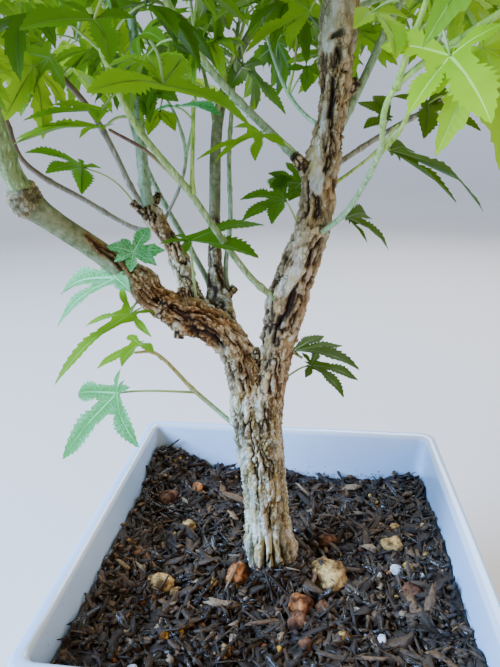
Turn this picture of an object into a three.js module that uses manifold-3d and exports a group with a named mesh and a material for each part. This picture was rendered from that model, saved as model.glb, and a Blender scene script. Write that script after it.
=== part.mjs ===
// A young japanese maple with rough cork bark, in a square white pot.
// Millimetres, +Z up. The origin is the centre of the pot's flat underside,
// +X runs along the pot's back wall to the right and +Y runs to the back.

import * as THREE from "three";
import { mergeVertices } from "three/addons/utils/BufferGeometryUtils.js";
import Module from "manifold-3d";

const wasm = await Module();
wasm.setup();

// Clearance between pieces that touch
const SEAT_GAP = 0.3;

// Pot: a tapering square with rounded corners and a rounded rim
const POT_WIDTH = 200;
const POT_HEIGHT = 180;
const POT_TAPER = THREE.MathUtils.degToRad(4);
const POT_WALL = 7.3;
const POT_FLOOR = 9;
const POT_CORNER = 8;
const POT_CORNER_STEPS = 3;
const RIM_ROUND = 2;
const RIM_SHOULDER = 0.6;
const DRAIN_RADIUS = 6;
const DRAIN_OFFSET = 42;
const DRAIN_SIDES = 12;

// Soil: fills the pot to this level, and the trunk is cut flat there
const SOIL_LEVEL = 150;

// Limbs. A station is [x, y, z, width], and a limb tapers from station to station.
// The first station of a bough lies inside the limb that carries it.
const TRUNK = [
  [-3, 0, SOIL_LEVEL + SEAT_GAP, 31],
  [-4.5, 0, 160, 26.5],
  [-6, 0, 178, 24],
  [-8, 0, 205, 23],
  [-10.5, 0, 232, 25.5],
  [-12, 0, 252, 28.5],
  [-12, 0, 264, 20],
];
const TRUNK_SIDES = 14;

const BOUGHS = {
  right_bough: [
    [-6, 0, 250, 14],
    [-2, 0, 274, 15],
    [3, 0, 299, 17],
    [13, 0, 334, 15],
    [17.5, 0, 362, 15],
    [21, 0, 397, 14],
    [21, -3, 425, 14],
    [15, -2, 480, 10.5],
    [10, 2, 530, 8],
    [6, 4, 602, 4.5],
  ],
  left_bough: [
    [-14, 0, 250, 14],
    [-22, -2, 277, 14.5],
    [-34, -6, 290, 14],
    [-55, -13, 303, 12.5],
    [-60, -15, 311, 12.5],
    [-63, -16, 314, 12],
  ],
  left_arm: [
    [-61, -15.4, 312, 11],
    [-77, -23, 327, 11.5],
    [-86, -30, 335.5, 11],
    [-93.5, -38, 346.5, 12],
    [-94.5, -39.5, 351, 10],
  ],
  left_shoot: [
    [-93.5, -38, 346, 8.5],
    [-96.5, -43, 360, 7.5],
    [-99, -50, 382, 7],
    [-108, -60, 402, 6],
    [-114, -66, 416, 5],
  ],
  centre_bough: [
    [-30, 0, 286, 9.5],
    [-44, 13, 297, 9],
    [-50, 18, 311, 7.5],
    [-54, 20, 320, 7.5],
    [-65, 24, 336, 8.5],
  ],
  back_bough: [
    [-24, 2, 282, 12],
    [-30, 15, 291, 12],
    [-34, 24, 308, 8],
    [-35, 31, 334, 5.5],
    [-33.5, 40, 378, 5],
    [-28, 58, 404, 4.5],
    [-14, 88, 436, 4],
  ],
};
const BOUGH_SIDES = 10;

const SHOOTS = {
  centre_shoot: [
    [-65, 24, 333, 6],
    [-69, 27, 358, 5.8],
    [-70, 32, 389, 5.2],
    [-74, 44, 424, 4.4],
  ],
  brown_shoot: [
    [-64, 24, 333, 3],
    [-72, 24, 344, 3],
    [-90, 20, 384, 2.8],
    [-112, 14, 408, 2.6],
    [-134, 18, 424, 2.4],
  ],
  low_left_twig: [
    [-12, 2, 226, 2.6],
    [-26, 4, 235, 2.6],
    [-42, 4, 249.5, 2.6],
    [-61, 0, 272, 2],
    [-76, -7, 272, 1.8],
  ],
  low_right_twig: [
    [-6, 4, 262, 1.8],
    [4, 16, 268, 1.8],
    [16, 23, 260, 1.6],
  ],
  inner_left_shoot: [
    [2, -2, 298, 3.2],
    [-13, -9, 313, 3],
    [-34.5, -22, 349, 3],
    [-52, -34, 376, 2.9],
    [-59, -48, 408, 2.8],
    [-57, -84, 476, 2.6],
  ],
  upper_left_shoot: [
    [15, 0, 353, 3.6],
    [2, -2, 365.5, 3.4],
    [-27.5, -18, 395.5, 3],
    [-44, -28, 424, 2.8],
    [-70, -22, 486, 2.6],
  ],
  right_shoot: [
    [14, -3, 329, 3],
    [26.5, -14, 341, 2.8],
    [35, -42, 364, 3],
    [38, -66, 382, 2.9],
    [82, -82, 412, 2.6],
  ],
  upper_right_shoot: [
    [20, 0, 366, 3.4],
    [31.5, 6, 390, 3.3],
    [48, 12, 425, 3],
    [84, 12, 488, 2.6],
  ],
  grey_twig: [
    [18, 2, 356, 2.4],
    [42, 14, 370.5, 2.4],
    [75, 30, 388, 2.2],
    [126, 42, 420, 2],
  ],
  back_right_side: [
    [21, -2, 405, 4],
    [28, 26, 420, 3.8],
    [50, 64, 436, 3.2],
    [72, 92, 450, 2.8],
  ],
  front_side: [
    [20, -3, 432, 4],
    [22, -28, 454, 3.8],
    [29, -92, 488, 3],
  ],
  upper_right_side: [
    [16, -2, 470, 4],
    [32, -10, 500, 3.8],
    [62, -32, 552, 3],
  ],
  upper_left_side: [
    [13, 0, 492, 4],
    [-10, -4, 520, 3.6],
    [-50, -6, 564, 3],
  ],
  back_left_side: [
    [17, -2, 452, 4],
    [-4, 18, 472, 3.6],
    [-44, 58, 504, 3],
  ],
  upper_back_side: [
    [11, 2, 512, 3.6],
    [9, 22, 530, 3.2],
    [14, 58, 558, 2.8],
  ],
  upper_front_side: [
    [9.5, 2, 532, 3.4],
    [9, -22, 550, 3],
    [4, -68, 572, 2.6],
  ],
};
const SHOOT_SIDES = 6;

// A limb's rings stand its own width apart, within these limits
const SHORTEST_STEP = 16;
const LONGEST_STEP = 20;

// Foliage: each mass has its centre [x, y, z], its full size [x, y, z] and the phase of its lobes.
// The low sprays are the few leaves that hang under the crown.
const FOLIAGE = {
  low_left_spray: { centre: [-86, -10, 253], size: [54, 26, 88], phase: 0.4 },
  hanging_left_spray: { centre: [-85, -21, 312], size: [36, 22, 36], phase: 1.3 },
  middle_spray: { centre: [-32, -7, 328], size: [50, 16, 14], phase: 2.1 },
  low_right_spray: { centre: [27, 24, 252], size: [42, 24, 34], phase: 0.9 },
  hanging_right_spray: { centre: [57, -24, 347], size: [56, 26, 42], phase: 1.7 },
  left_front_mass: { centre: [-128, -76, 430], size: [136, 112, 62], phase: 0.2 },
  far_left_mass: { centre: [-160, 26, 432], size: [116, 112, 62], phase: 1.1 },
  centre_left_mass: { centre: [-82, 70, 434], size: [116, 110, 62], phase: 2.6 },
  back_mass: { centre: [-2, 112, 444], size: [118, 104, 62], phase: 3.3 },
  back_right_mass: { centre: [92, 106, 456], size: [114, 104, 62], phase: 3.0 },
  far_right_mass: { centre: [150, 40, 428], size: [116, 112, 58], phase: 2.4 },
  right_front_mass: { centre: [106, -84, 424], size: [124, 108, 58], phase: 0.7 },
  inner_left_mass: { centre: [-84, -14, 496], size: [122, 100, 62], phase: 5.1 },
  inner_front_mass: { centre: [-56, -98, 486], size: [112, 96, 58], phase: 4.2 },
  front_mass: { centre: [34, -108, 498], size: [112, 94, 58], phase: 3.8 },
  right_mass: { centre: [98, 8, 500], size: [120, 108, 64], phase: 1.9 },
  back_left_mass: { centre: [-58, 72, 514], size: [116, 100, 62], phase: 4.9 },
  upper_back_mass: { centre: [22, 72, 566], size: [112, 98, 60], phase: 0.1 },
  upper_right_mass: { centre: [74, -38, 562], size: [108, 98, 60], phase: 4.6 },
  upper_left_mass: { centre: [-64, -4, 574], size: [108, 100, 60], phase: 5.4 },
  upper_front_mass: { centre: [0, -82, 578], size: [104, 90, 56], phase: 1.5 },
  top_mass: { centre: [6, 4, 618], size: [104, 98, 64], phase: 2.8 },
};
// A mass is closed by a small flat cap at each pole, this share of a half turn wide
const MASS_ROWS = 7;
const MASS_COLUMNS = 11;
const POLE_SHARE = 0.09;

// Colours and finish of each kind of piece
const GLAZE = { color: "#eef1f3", roughness: 0.15, metalness: 0 };
const EARTH = { color: "#2c211b", roughness: 0.95, metalness: 0 };
const CORK_BARK = { color: "#8f765c", roughness: 0.9, metalness: 0 };
const GREEN_STEM = { color: "#8aa37a", roughness: 0.55, metalness: 0 };
const LEAVES = { color: "#4f8a35", roughness: 0.6, metalness: 0 };

// A closed skin over rings that all have the same number of points, with a fan over each end
function skin(rings) {
  const around = rings[0].length;
  const positions = rings.flat().flatMap((point) => point.toArray());
  const middle = (ring) =>
    ring.reduce((sum, point) => sum.add(point), new THREE.Vector3()).divideScalar(around);
  const last = rings.length - 1;
  const start = rings.length * around;
  positions.push(...middle(rings[0]).toArray(), ...middle(rings[last]).toArray());
  const faces = [];
  for (let i = 0; i < around; i += 1) {
    const j = (i + 1) % around;
    faces.push(start, j, i);
    faces.push(start + 1, last * around + i, last * around + j);
    for (let row = 0; row < last; row += 1) {
      const low = row * around;
      const high = low + around;
      faces.push(low + i, low + j, high + j);
      faces.push(low + i, high + j, high + i);
    }
  }
  const geometry = new THREE.BufferGeometry();
  geometry.setAttribute("position", new THREE.Float32BufferAttribute(positions, 3));
  geometry.setIndex(faces);
  return geometry;
}

// A square ring with rounded corners, counter-clockwise, at height z
function squareRing(halfWidth, corner, z) {
  const ring = [];
  for (let side = 0; side < 4; side += 1) {
    for (let step = 0; step <= POT_CORNER_STEPS; step += 1) {
      const angle = (side + step / POT_CORNER_STEPS) * (Math.PI / 2);
      const signX = side === 0 || side === 3 ? 1 : -1;
      const signY = side < 2 ? 1 : -1;
      const reach = halfWidth - corner;
      const x = signX * reach + corner * Math.cos(angle);
      const y = signY * reach + corner * Math.sin(angle);
      ring.push(new THREE.Vector3(x, y, z));
    }
  }
  return ring;
}

// Half the pot's outer width at height z
function potHalfWidth(z) {
  return POT_WIDTH / 2 - (POT_HEIGHT - z) * Math.tan(POT_TAPER);
}

function potGeometry() {
  const inner = POT_CORNER / 2;
  const outside = (z, inset = 0) => squareRing(potHalfWidth(z) - inset, POT_CORNER, z);
  const inside = (z, inset = 0) => squareRing(potHalfWidth(z) - POT_WALL + inset, inner, z);
  const rings = [outside(0, RIM_ROUND), outside(RIM_ROUND)];
  rings.push(outside(POT_HEIGHT - RIM_ROUND));
  rings.push(outside(POT_HEIGHT - RIM_SHOULDER, RIM_SHOULDER));
  rings.push(outside(POT_HEIGHT, RIM_ROUND));
  rings.push(inside(POT_HEIGHT, RIM_ROUND));
  rings.push(inside(POT_HEIGHT - RIM_SHOULDER, RIM_SHOULDER));
  rings.push(inside(POT_HEIGHT - RIM_ROUND));
  rings.push(inside(POT_FLOOR));
  let pot = solidOf(skin(rings));
  for (const signX of [-1, 1]) {
    for (const signY of [-1, 1]) {
      const drain = new THREE.CylinderGeometry(DRAIN_RADIUS, DRAIN_RADIUS, POT_FLOOR * 3, DRAIN_SIDES);
      drain.rotateX(Math.PI / 2);
      drain.translate(signX * DRAIN_OFFSET, signY * DRAIN_OFFSET, POT_FLOOR / 2);
      pot = pot.subtract(solidOf(drain));
    }
  }
  return geometryOf(pot);
}

function soilGeometry() {
  const ring = (z) =>
    squareRing(potHalfWidth(z) - POT_WALL - SEAT_GAP, POT_CORNER / 2, z);
  return skin([ring(POT_FLOOR + SEAT_GAP), ring(SOIL_LEVEL)]);
}

// A tapering limb: rings square to a smooth curve through the stations.
// Grown by an amount, it is that much wider and longer, to be cut out of a neighbour.
function limbGeometry(stations, sides, grow = 0) {
  const points = stations.map(([x, y, z]) => new THREE.Vector3(x, y, z));
  const widths = stations.map((station) => station[3]);
  const curve = new THREE.CatmullRomCurve3(points, false, "centripetal");
  const meanWidth = widths.reduce((sum, width) => sum + width, 0) / widths.length;
  const step = THREE.MathUtils.clamp(meanWidth, SHORTEST_STEP, LONGEST_STEP);
  const count = Math.max(Math.round(curve.getLength() / step), stations.length - 1);
  const rings = [];
  let side = new THREE.Vector3(1, 0, 0);
  for (let i = 0; i <= count; i += 1) {
    const share = i / count;
    const place = share * (stations.length - 1);
    const index = Math.min(Math.floor(place), stations.length - 2);
    const width = THREE.MathUtils.lerp(widths[index], widths[index + 1], place - index);
    const radius = width / 2 + grow;
    const centre = curve.getPoint(share);
    const along = curve.getTangent(share);
    if (grow > 0 && i === 0) centre.addScaledVector(along, -grow);
    if (grow > 0 && i === count) centre.addScaledVector(along, grow);
    side = side.clone().addScaledVector(along, -side.dot(along)).normalize();
    const other = new THREE.Vector3().crossVectors(along, side);
    const ring = [];
    for (let k = 0; k < sides; k += 1) {
      const angle = (k / sides) * Math.PI * 2;
      const point = centre.clone();
      point.addScaledVector(side, Math.cos(angle) * radius);
      point.addScaledVector(other, Math.sin(angle) * radius);
      ring.push(point);
    }
    rings.push(ring);
  }
  return skin(rings);
}

// The trunk, with its foot cut level: its first ring is pressed flat onto the soil's level
function trunkGeometry(grow = 0) {
  const geometry = limbGeometry(TRUNK, TRUNK_SIDES, grow);
  const position = geometry.getAttribute("position");
  const foot = SOIL_LEVEL + SEAT_GAP - grow;
  for (let i = 0; i < position.count; i += 1) {
    const onFoot = i < TRUNK_SIDES || i === position.count - 2;
    if (onFoot) position.setZ(i, foot);
  }
  return geometry;
}

// An uneven closed mass: a flattened ball whose radius swells and sinks in lobes
// r = 1 - depth * (1 - sin(3a + p) sin(2b + p)) / 2, with a round it and b from pole to pole
const LOBE_DEPTH = 0.2;

function massGeometry({ centre, size, phase }, grow = 0) {
  const rings = [];
  for (let row = 0; row <= MASS_ROWS; row += 1) {
    const b = THREE.MathUtils.lerp(POLE_SHARE, 1 - POLE_SHARE, row / MASS_ROWS) * Math.PI;
    const ring = [];
    for (let column = 0; column < MASS_COLUMNS; column += 1) {
      const a = (column / MASS_COLUMNS) * Math.PI * 2;
      const lobe = Math.sin(3 * a + phase) * Math.sin(2 * b + phase);
      const radius = 1 - (LOBE_DEPTH * (1 - lobe)) / 2;
      const x = centre[0] + (size[0] / 2 + grow) * radius * Math.sin(b) * Math.cos(a);
      const y = centre[1] + (size[1] / 2 + grow) * radius * Math.sin(b) * Math.sin(a);
      const z = centre[2] - (size[2] / 2 + grow) * radius * Math.cos(b);
      ring.push(new THREE.Vector3(x, y, z));
    }
    rings.push(ring);
  }
  return skin(rings);
}

function solidOf(geometry) {
  const plain = geometry.clone();
  plain.deleteAttribute("normal");
  plain.deleteAttribute("uv");
  const merged = mergeVertices(plain, 1e-4);
  const mesh = new wasm.Mesh({
    numProp: 3,
    vertProperties: new Float32Array(merged.getAttribute("position").array),
    triVerts: new Uint32Array(merged.index.array),
  });
  mesh.merge();
  return new wasm.Manifold(mesh);
}

function geometryOf(solid) {
  const mesh = solid.getMesh();
  const geometry = new THREE.BufferGeometry();
  geometry.setAttribute("position", new THREE.BufferAttribute(mesh.vertProperties, 3));
  geometry.setIndex(new THREE.BufferAttribute(mesh.triVerts, 1));
  return geometry;
}

function boxesMeet(one, other) {
  const a = one.boundingBox();
  const b = other.boundingBox();
  return [0, 1, 2].every((k) => a.min[k] <= b.max[k] && b.min[k] <= a.max[k]);
}

// The solid less its grown neighbours, as the largest body that is left
function seatedOn(solid, neighbours) {
  let left = solid;
  for (const neighbour of neighbours) {
    if (boxesMeet(left, neighbour)) left = left.subtract(neighbour);
  }
  const bodies = left.decompose();
  bodies.sort((one, other) => other.volume() - one.volume());
  return bodies[0];
}

const plant = new THREE.Group();

function add(name, geometry, finish) {
  geometry.computeVertexNormals();
  const mesh = new THREE.Mesh(geometry, new THREE.MeshStandardMaterial(finish));
  mesh.name = name;
  plant.add(mesh);
}

add("pot", potGeometry(), GLAZE);
add("soil", soilGeometry(), EARTH);
add("trunk", trunkGeometry(), CORK_BARK);

// Each limb is cut to sit on the limbs before it, and each mass on limbs and masses
const seats = [solidOf(trunkGeometry(SEAT_GAP))];

function addLimbs(limbs, sides, finish) {
  for (const [name, stations] of Object.entries(limbs)) {
    const limb = seatedOn(solidOf(limbGeometry(stations, sides)), seats);
    add(name, geometryOf(limb), finish);
    seats.push(solidOf(limbGeometry(stations, sides, SEAT_GAP)));
  }
}

addLimbs(BOUGHS, BOUGH_SIDES, CORK_BARK);
addLimbs(SHOOTS, SHOOT_SIDES, GREEN_STEM);

for (const [name, mass] of Object.entries(FOLIAGE)) {
  add(name, geometryOf(seatedOn(solidOf(massGeometry(mass)), seats)), LEAVES);
  seats.push(solidOf(massGeometry(mass, SEAT_GAP)));
}

export default plant;
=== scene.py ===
import bpy
import numpy as np
from mathutils import Matrix, Vector


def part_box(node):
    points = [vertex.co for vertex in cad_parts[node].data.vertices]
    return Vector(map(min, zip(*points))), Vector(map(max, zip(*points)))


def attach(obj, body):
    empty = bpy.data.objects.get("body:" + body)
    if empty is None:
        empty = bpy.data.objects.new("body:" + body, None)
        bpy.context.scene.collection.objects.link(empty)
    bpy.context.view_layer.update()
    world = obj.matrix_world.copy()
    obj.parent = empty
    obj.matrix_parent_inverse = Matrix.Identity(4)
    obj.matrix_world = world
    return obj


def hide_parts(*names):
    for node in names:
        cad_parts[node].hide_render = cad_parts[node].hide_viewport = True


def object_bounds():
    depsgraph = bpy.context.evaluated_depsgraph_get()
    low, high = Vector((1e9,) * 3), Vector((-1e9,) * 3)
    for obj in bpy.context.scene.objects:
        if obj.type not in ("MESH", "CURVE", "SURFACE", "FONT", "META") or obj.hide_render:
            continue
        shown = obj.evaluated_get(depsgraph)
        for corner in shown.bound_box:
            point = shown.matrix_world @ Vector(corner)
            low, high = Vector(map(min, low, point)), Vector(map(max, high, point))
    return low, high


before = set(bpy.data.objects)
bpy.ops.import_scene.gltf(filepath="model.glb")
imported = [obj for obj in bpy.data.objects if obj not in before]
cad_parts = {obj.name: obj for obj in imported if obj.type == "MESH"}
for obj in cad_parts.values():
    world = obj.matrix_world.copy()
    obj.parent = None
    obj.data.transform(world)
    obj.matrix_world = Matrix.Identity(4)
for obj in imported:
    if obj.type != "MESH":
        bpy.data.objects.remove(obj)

CAD_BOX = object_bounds()
MM = 0.001
FULL_TURN = 2 * np.pi
UP = np.array([0.0, 0.0, 1.0])


# Colours and nodes

def linear(colour):
    """An sRGB hex colour, such as "8f765c", as linear red, green, blue and a full alpha."""
    shares = np.array([int(colour[k : k + 2], 16) for k in (0, 2, 4)]) / 255
    curved = ((shares + 0.055) / 1.055) ** 2.4
    return (*np.where(shares <= 0.04045, shares / 12.92, curved), 1.0)


def add_node(tree, kind, values=(), output=None, stops=(), **settings):
    """Adds a node with its settings, its inputs and a ramp's stops as (place, hex), and gives one output.

    The inputs come by name, or in the order of those that are open. Each is a socket to link, a hex
    colour or a plain value. The output is the one that is named, or else the first that is open."""
    made = tree.nodes.new("ShaderNode" + kind)
    for name, value in settings.items():
        setattr(made, name, value)
    named = isinstance(values, dict)
    sockets = made.inputs if named else [socket for socket in made.inputs if socket.enabled]
    for key, value in values.items() if named else enumerate(values):
        if isinstance(value, bpy.types.NodeSocket):
            tree.links.new(value, sockets[key])
        else:
            sockets[key].default_value = linear(value) if isinstance(value, str) else value
    if stops:
        elements = made.color_ramp.elements
        while len(elements) < len(stops):
            elements.new(0.5)
        for element, (place, colour) in zip(elements, stops):
            element.position = place
            element.color = linear(colour)
    return next((socket for socket in made.outputs if socket.enabled and output in (None, socket.name)), None)


def new_material(name):
    """An empty node material and its tree."""
    material = bpy.data.materials.new(name)
    material.use_nodes = True
    material.node_tree.nodes.clear()
    return material, material.node_tree


def in_millimetres(tree, *sizes):
    """Object coordinates in millimetres, divided by a pattern's size along each axis."""
    place = add_node(tree, "TexCoord", output="Object")
    return add_node(tree, "Mapping", {"Vector": place, "Scale": [1 / (MM * size) for size in sizes]})


# Random fields, the same in each run

def scatter(cells, seed):
    """An even random number from 0 to 1 for each whole-number cell (..., 3), by mixing its bits."""
    x, y, z = np.moveaxis(cells.astype(np.int64).astype(np.uint32), -1, 0)
    mixed = x * np.uint32(73856093) ^ y * np.uint32(19349663) ^ z * np.uint32(83492791)
    mixed = mixed ^ np.uint32(seed * 40503 + 977)
    for shift, factor in ((16, 2246822519), (13, 3266489917), (15, 668265263)):
        mixed = (mixed ^ (mixed >> np.uint32(shift))) * np.uint32(factor)
    return (mixed ^ (mixed >> np.uint32(16))) / 2.0**32


def smooth_step(low, high, value):
    """0 at low, 1 at high, 3t^2 - 2t^3 between, and level beyond either. low may be the greater."""
    share = np.clip((value - low) / (high - low), 0, 1)
    return share * share * (3 - 2 * share)


def field(points, seed):
    """Noise from -1 to 1: a random number at each whole-number corner, blended across the cell."""
    cell = np.floor(points)
    share = smooth_step(0, 1, points - cell)
    total = 0
    for corner in np.ndindex(2, 2, 2):
        corner = np.array(corner)
        total = total + np.prod(np.where(corner, share, 1 - share), axis=-1) * scatter(cell + corner, seed)
    return 2 * total - 1


def layered(points, seed, layers=3):
    """Noise in layers, each twice as fine and half as strong."""
    return sum(field(points * 2**k, seed + k) / 2**k for k in range(layers))


def cells_at(points, seed):
    """Irregular cells, each round a random point of its own lattice cube.

    Gives the second nearest distance less the nearest, which is 0 on a crack between two cells,
    the nearest cell's own random number, and the way from its centre."""
    cell = np.floor(points)
    first = np.full(points.shape[:-1], 9.0)
    second = first.copy()
    number = np.zeros_like(first)
    offset = np.zeros_like(points)
    for step in np.ndindex(3, 3, 3):
        there = cell + np.array(step) - 1
        centre = there + np.stack([scatter(there, seed + k) for k in range(3)], -1)
        away = points - centre
        distance = np.linalg.norm(away, axis=-1)
        nearer = distance < first
        second = np.where(nearer, first, np.minimum(second, distance))
        first = np.where(nearer, distance, first)
        number = np.where(nearer, scatter(there, seed + 3), number)
        offset = np.where(nearer[..., None], away, offset)
    return second - first, number, offset


# Meshes

def mesh_piece(name, points, groups, materials, shares=None, places=None):
    """A mesh object from points in millimetres.

    groups: (faces as an array of point numbers, material number or numbers) for each count of corners.
    shares: numbers from 0 to 1 at each point, by name. places: two numbers at each point, as UV map."""
    counts = np.concatenate([np.full(len(faces), faces.shape[1]) for faces, _ in groups])
    corners = np.concatenate([faces.ravel() for faces, _ in groups]).astype(np.int32)
    kinds = np.concatenate([np.broadcast_to(kind, len(faces)) for faces, kind in groups])
    mesh = bpy.data.meshes.new(name)
    mesh.vertices.add(len(points))
    mesh.vertices.foreach_set("co", (np.asarray(points) * MM).astype(np.float32).ravel())
    mesh.loops.add(len(corners))
    mesh.loops.foreach_set("vertex_index", corners)
    mesh.polygons.add(len(counts))
    mesh.polygons.foreach_set("loop_start", (np.cumsum(counts) - counts).astype(np.int32))
    mesh.polygons.foreach_set("material_index", kinds.astype(np.int32))
    mesh.polygons.foreach_set("use_smooth", np.ones(len(counts), bool))
    for title, values in (shares or {}).items():
        attribute = mesh.attributes.new(title, "FLOAT", "POINT")
        attribute.data.foreach_set("value", np.asarray(values, np.float32).ravel())
    if places is not None:
        layer = mesh.uv_layers.new(name="Surface")
        layer.data.foreach_set("uv", np.asarray(places, np.float32)[corners].ravel())
    for material in materials:
        mesh.materials.append(material)
    mesh.update(calc_edges=True)
    piece = bpy.data.objects.new(name, mesh)
    bpy.context.scene.collection.objects.link(piece)
    return piece


def belongs(piece, slot, *nodes):
    """The piece moves with the plant and stands for its CAD nodes, which are hidden. The slot is not used."""
    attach(piece, "root")
    if nodes:
        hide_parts(*nodes)


def unit(vectors):
    """Vectors of length 1."""
    return vectors / np.maximum(np.linalg.norm(vectors, axis=-1, keepdims=True), 1e-9)


def tube_faces(rows, columns, count=1):
    """Faces of tubes of rows rings: quads between rings, and a fan to a pole at each end.

    Each tube has rows * columns points ring by ring, then its first pole and its last pole."""
    j = np.arange(columns)
    k = (j + 1) % columns
    low = (np.arange(rows - 1) * columns)[:, None]
    quads = np.stack([low + j, low + k, low + columns + k, low + columns + j], -1).reshape(-1, 4)
    top = (rows - 1) * columns
    start = np.stack([np.full(columns, rows * columns), k, j], -1)
    end = np.stack([np.full(columns, rows * columns + 1), top + j, top + k], -1)
    caps = np.concatenate([start, end])
    step = (np.arange(count) * (rows * columns + 2))[:, None, None]
    return (quads + step).reshape(-1, 4), (caps + step).reshape(-1, 3)


def join_tubes(name, tubes, slot, *nodes):
    """Tubes as one piece: each is its points, its faces by count of corners, its shares and its skin."""
    worn = list(dict.fromkeys(skin for *_, skin in tubes))
    starts = np.cumsum([0] + [len(points) for points, *_ in tubes])
    groups = []
    for part in (0, 1):
        faces = [each[1][part] + start for each, start in zip(tubes, starts)]
        kinds = [np.full(len(made), worn.index(each[3])) for made, each in zip(faces, tubes)]
        groups.append((np.concatenate(faces), np.concatenate(kinds)))
    points = np.vstack([each[0] for each in tubes])
    shares = {title: np.concatenate([each[2][title] for each in tubes]) for title in tubes[0][2]}
    belongs(mesh_piece(name, points, groups, worn, shares), slot, *nodes)


# Paths

def curve_through(points, places):
    """A smooth curve through points: a Catmull-Rom curve whose knots are the square roots of the gaps.

    places run from 0 at the first point to the number of the last."""
    points = np.asarray(points, float)
    ghosts = np.vstack([2 * points[0] - points[1], points, 2 * points[-1] - points[-2]])
    index = np.clip(np.floor(places).astype(int), 0, len(points) - 2)
    t = (places - index)[:, None]
    a, b, c, d = (ghosts[index + k] for k in range(4))
    before, here, after = (
        np.sqrt(np.linalg.norm(q - p, axis=1, keepdims=True)) for p, q in ((a, b), (b, c), (c, d))
    )
    leave = ((b - a) / before - (c - a) / (before + here) + (c - b) / here) * here
    arrive = ((c - b) / here - (d - b) / (here + after) + (d - c) / after) * here
    cubic = 2 * (b - c) + leave + arrive
    square = 3 * (c - b) - 2 * leave - arrive
    return ((cubic * t + square) * t + leave) * t + b


class Path:
    """A limb's centre line at even steps, with its radius and two directions square to it."""

    def __init__(self, stations, step):
        stations = np.asarray(stations, float)
        dense = np.linspace(0, len(stations) - 1, 40 * len(stations))
        line = curve_through(stations[:, :3], dense)
        run = np.concatenate([[0], np.cumsum(np.linalg.norm(np.diff(line, axis=0), axis=1))])
        widths = np.interp(dense, np.arange(len(stations)), stations[:, 3])
        self.length = run[-1]
        self.rows = max(int(round(self.length / step)), 2) + 1
        self.run = np.linspace(0, self.length, self.rows)
        self.centre = np.stack([np.interp(self.run, run, line[:, k]) for k in range(3)], 1)
        self.radius = np.interp(self.run, run, widths) / 2
        self.along = unit(np.gradient(self.centre, axis=0))
        axis = np.eye(3)[np.argmin(np.abs(self.along).max(axis=0))]
        self.side = unit(axis - (self.along @ axis)[:, None] * self.along)
        self.other = np.cross(self.along, self.side)

    def spokes(self, columns):
        """Even angles round the limb, and at each the direction out from the centre line, ring by ring."""
        angles = np.broadcast_to(np.arange(columns) / columns * FULL_TURN, (self.rows, columns))
        cosine, sine = np.cos(angles)[..., None], np.sin(angles)[..., None]
        return angles, cosine * self.side[:, None] + sine * self.other[:, None]


def smooth_tube(path, columns, centre, radius, tip):
    """A round tube: its points ring by ring, then its poles, and its ages from 0 at the base to 1."""
    skin = centre[:, None] + radius[:, None, None] * path.spokes(columns)[1]
    age = np.append(np.repeat(path.run / path.length, columns), [0, 1])
    return np.vstack([skin.reshape(-1, 3), centre[0], tip]), {"age": age}


def nearest(points, path):
    """Distance from each point to a limb's surface: the least distance to its centres less the radius."""
    flat = points.reshape(-1, 3)
    gaps = np.full(len(flat), 1e9)
    for centre, radius in zip(path.centre[::4], path.radius[::4]):
        gaps = np.minimum(gaps, np.linalg.norm(flat - centre, axis=1) - radius)
    return gaps.reshape(points.shape[:-1])


def line_distance(points, line):
    """Distance from each point to a line of straight stretches."""
    best = np.full(points.shape[:-1], 1e9)
    for a, b in zip(np.asarray(line[:-1], float), np.asarray(line[1:], float)):
        share = np.clip((points - a) @ (b - a) / ((b - a) @ (b - a)), 0, 1)
        best = np.minimum(best, np.linalg.norm(points - a - share[..., None] * (b - a), axis=-1))
    return best


# Limbs: stations [x, y, z, width] along each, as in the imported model. A limb that leaves another
# starts deeper inside it here, so that their strands run together at the fork.

BARK_STATIONS = {
    "trunk": [
        [-3.4, 0, 143, 24], [-3.6, 0, 150, 24.5], [-4.4, 0, 160, 25], [-5.4, 0, 170, 23.4], [-6, 0, 180, 22],
        [-8, 0, 205, 21], [-10.4, 0, 232, 22.8], [-11.4, 0, 250, 24], [-11, 0, 260, 18.4], [-10.5, 0, 264, 8],
    ],
    "right_bough": [
        [-8, 0, 234, 12], [-6, 0, 250, 14.5], [-2, 0, 274, 15], [3, 0, 299, 17], [13, 0, 334, 15],
        [17.2, 0, 360, 13.4], [19.6, 0, 376, 11.6], [20.7, 0, 387, 11.2], [21, 0, 397, 12.4],
        [21.4, -1, 408, 13.6], [21, -3, 425, 13.2], [15, -2, 480, 10.5],
        [10, 2, 530, 8], [6, 4, 602, 4.5],
    ],
    "left_bough": [
        [-14, 0, 236, 12], [-16.2, 0, 252, 17], [-22, -2, 277, 14.6], [-34, -6, 290, 14],
        [-55, -13, 303, 12.5], [-60, -15, 311, 12.5], [-64, -16.5, 315, 11],
    ],
    "left_arm": [
        [-56, -13.6, 306, 9.5], [-61, -15.4, 312, 10.6], [-77, -23, 327.8, 9], [-86, -30, 337, 8.8],
        [-93.5, -38, 347, 9.5], [-95, -41, 353, 8],
    ],
    "centre_bough": [
        [-26, -1, 282, 9], [-30, 0, 286, 9.5], [-44, 13, 297, 9], [-50, 18, 311, 7.5],
        [-54, 20, 320, 7.5], [-65, 24, 336, 8.5], [-66, 24.5, 339, 6.5],
    ],
    "back_bough": [
        [-21, 0, 276, 11], [-24, 2, 282, 12], [-30, 15, 291, 12], [-34, 24, 308, 8],
        [-35, 31, 334, 5.5], [-33.5, 40, 378, 5], [-28, 58, 404, 4.5], [-14, 88, 436, 4],
    ],
}

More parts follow.
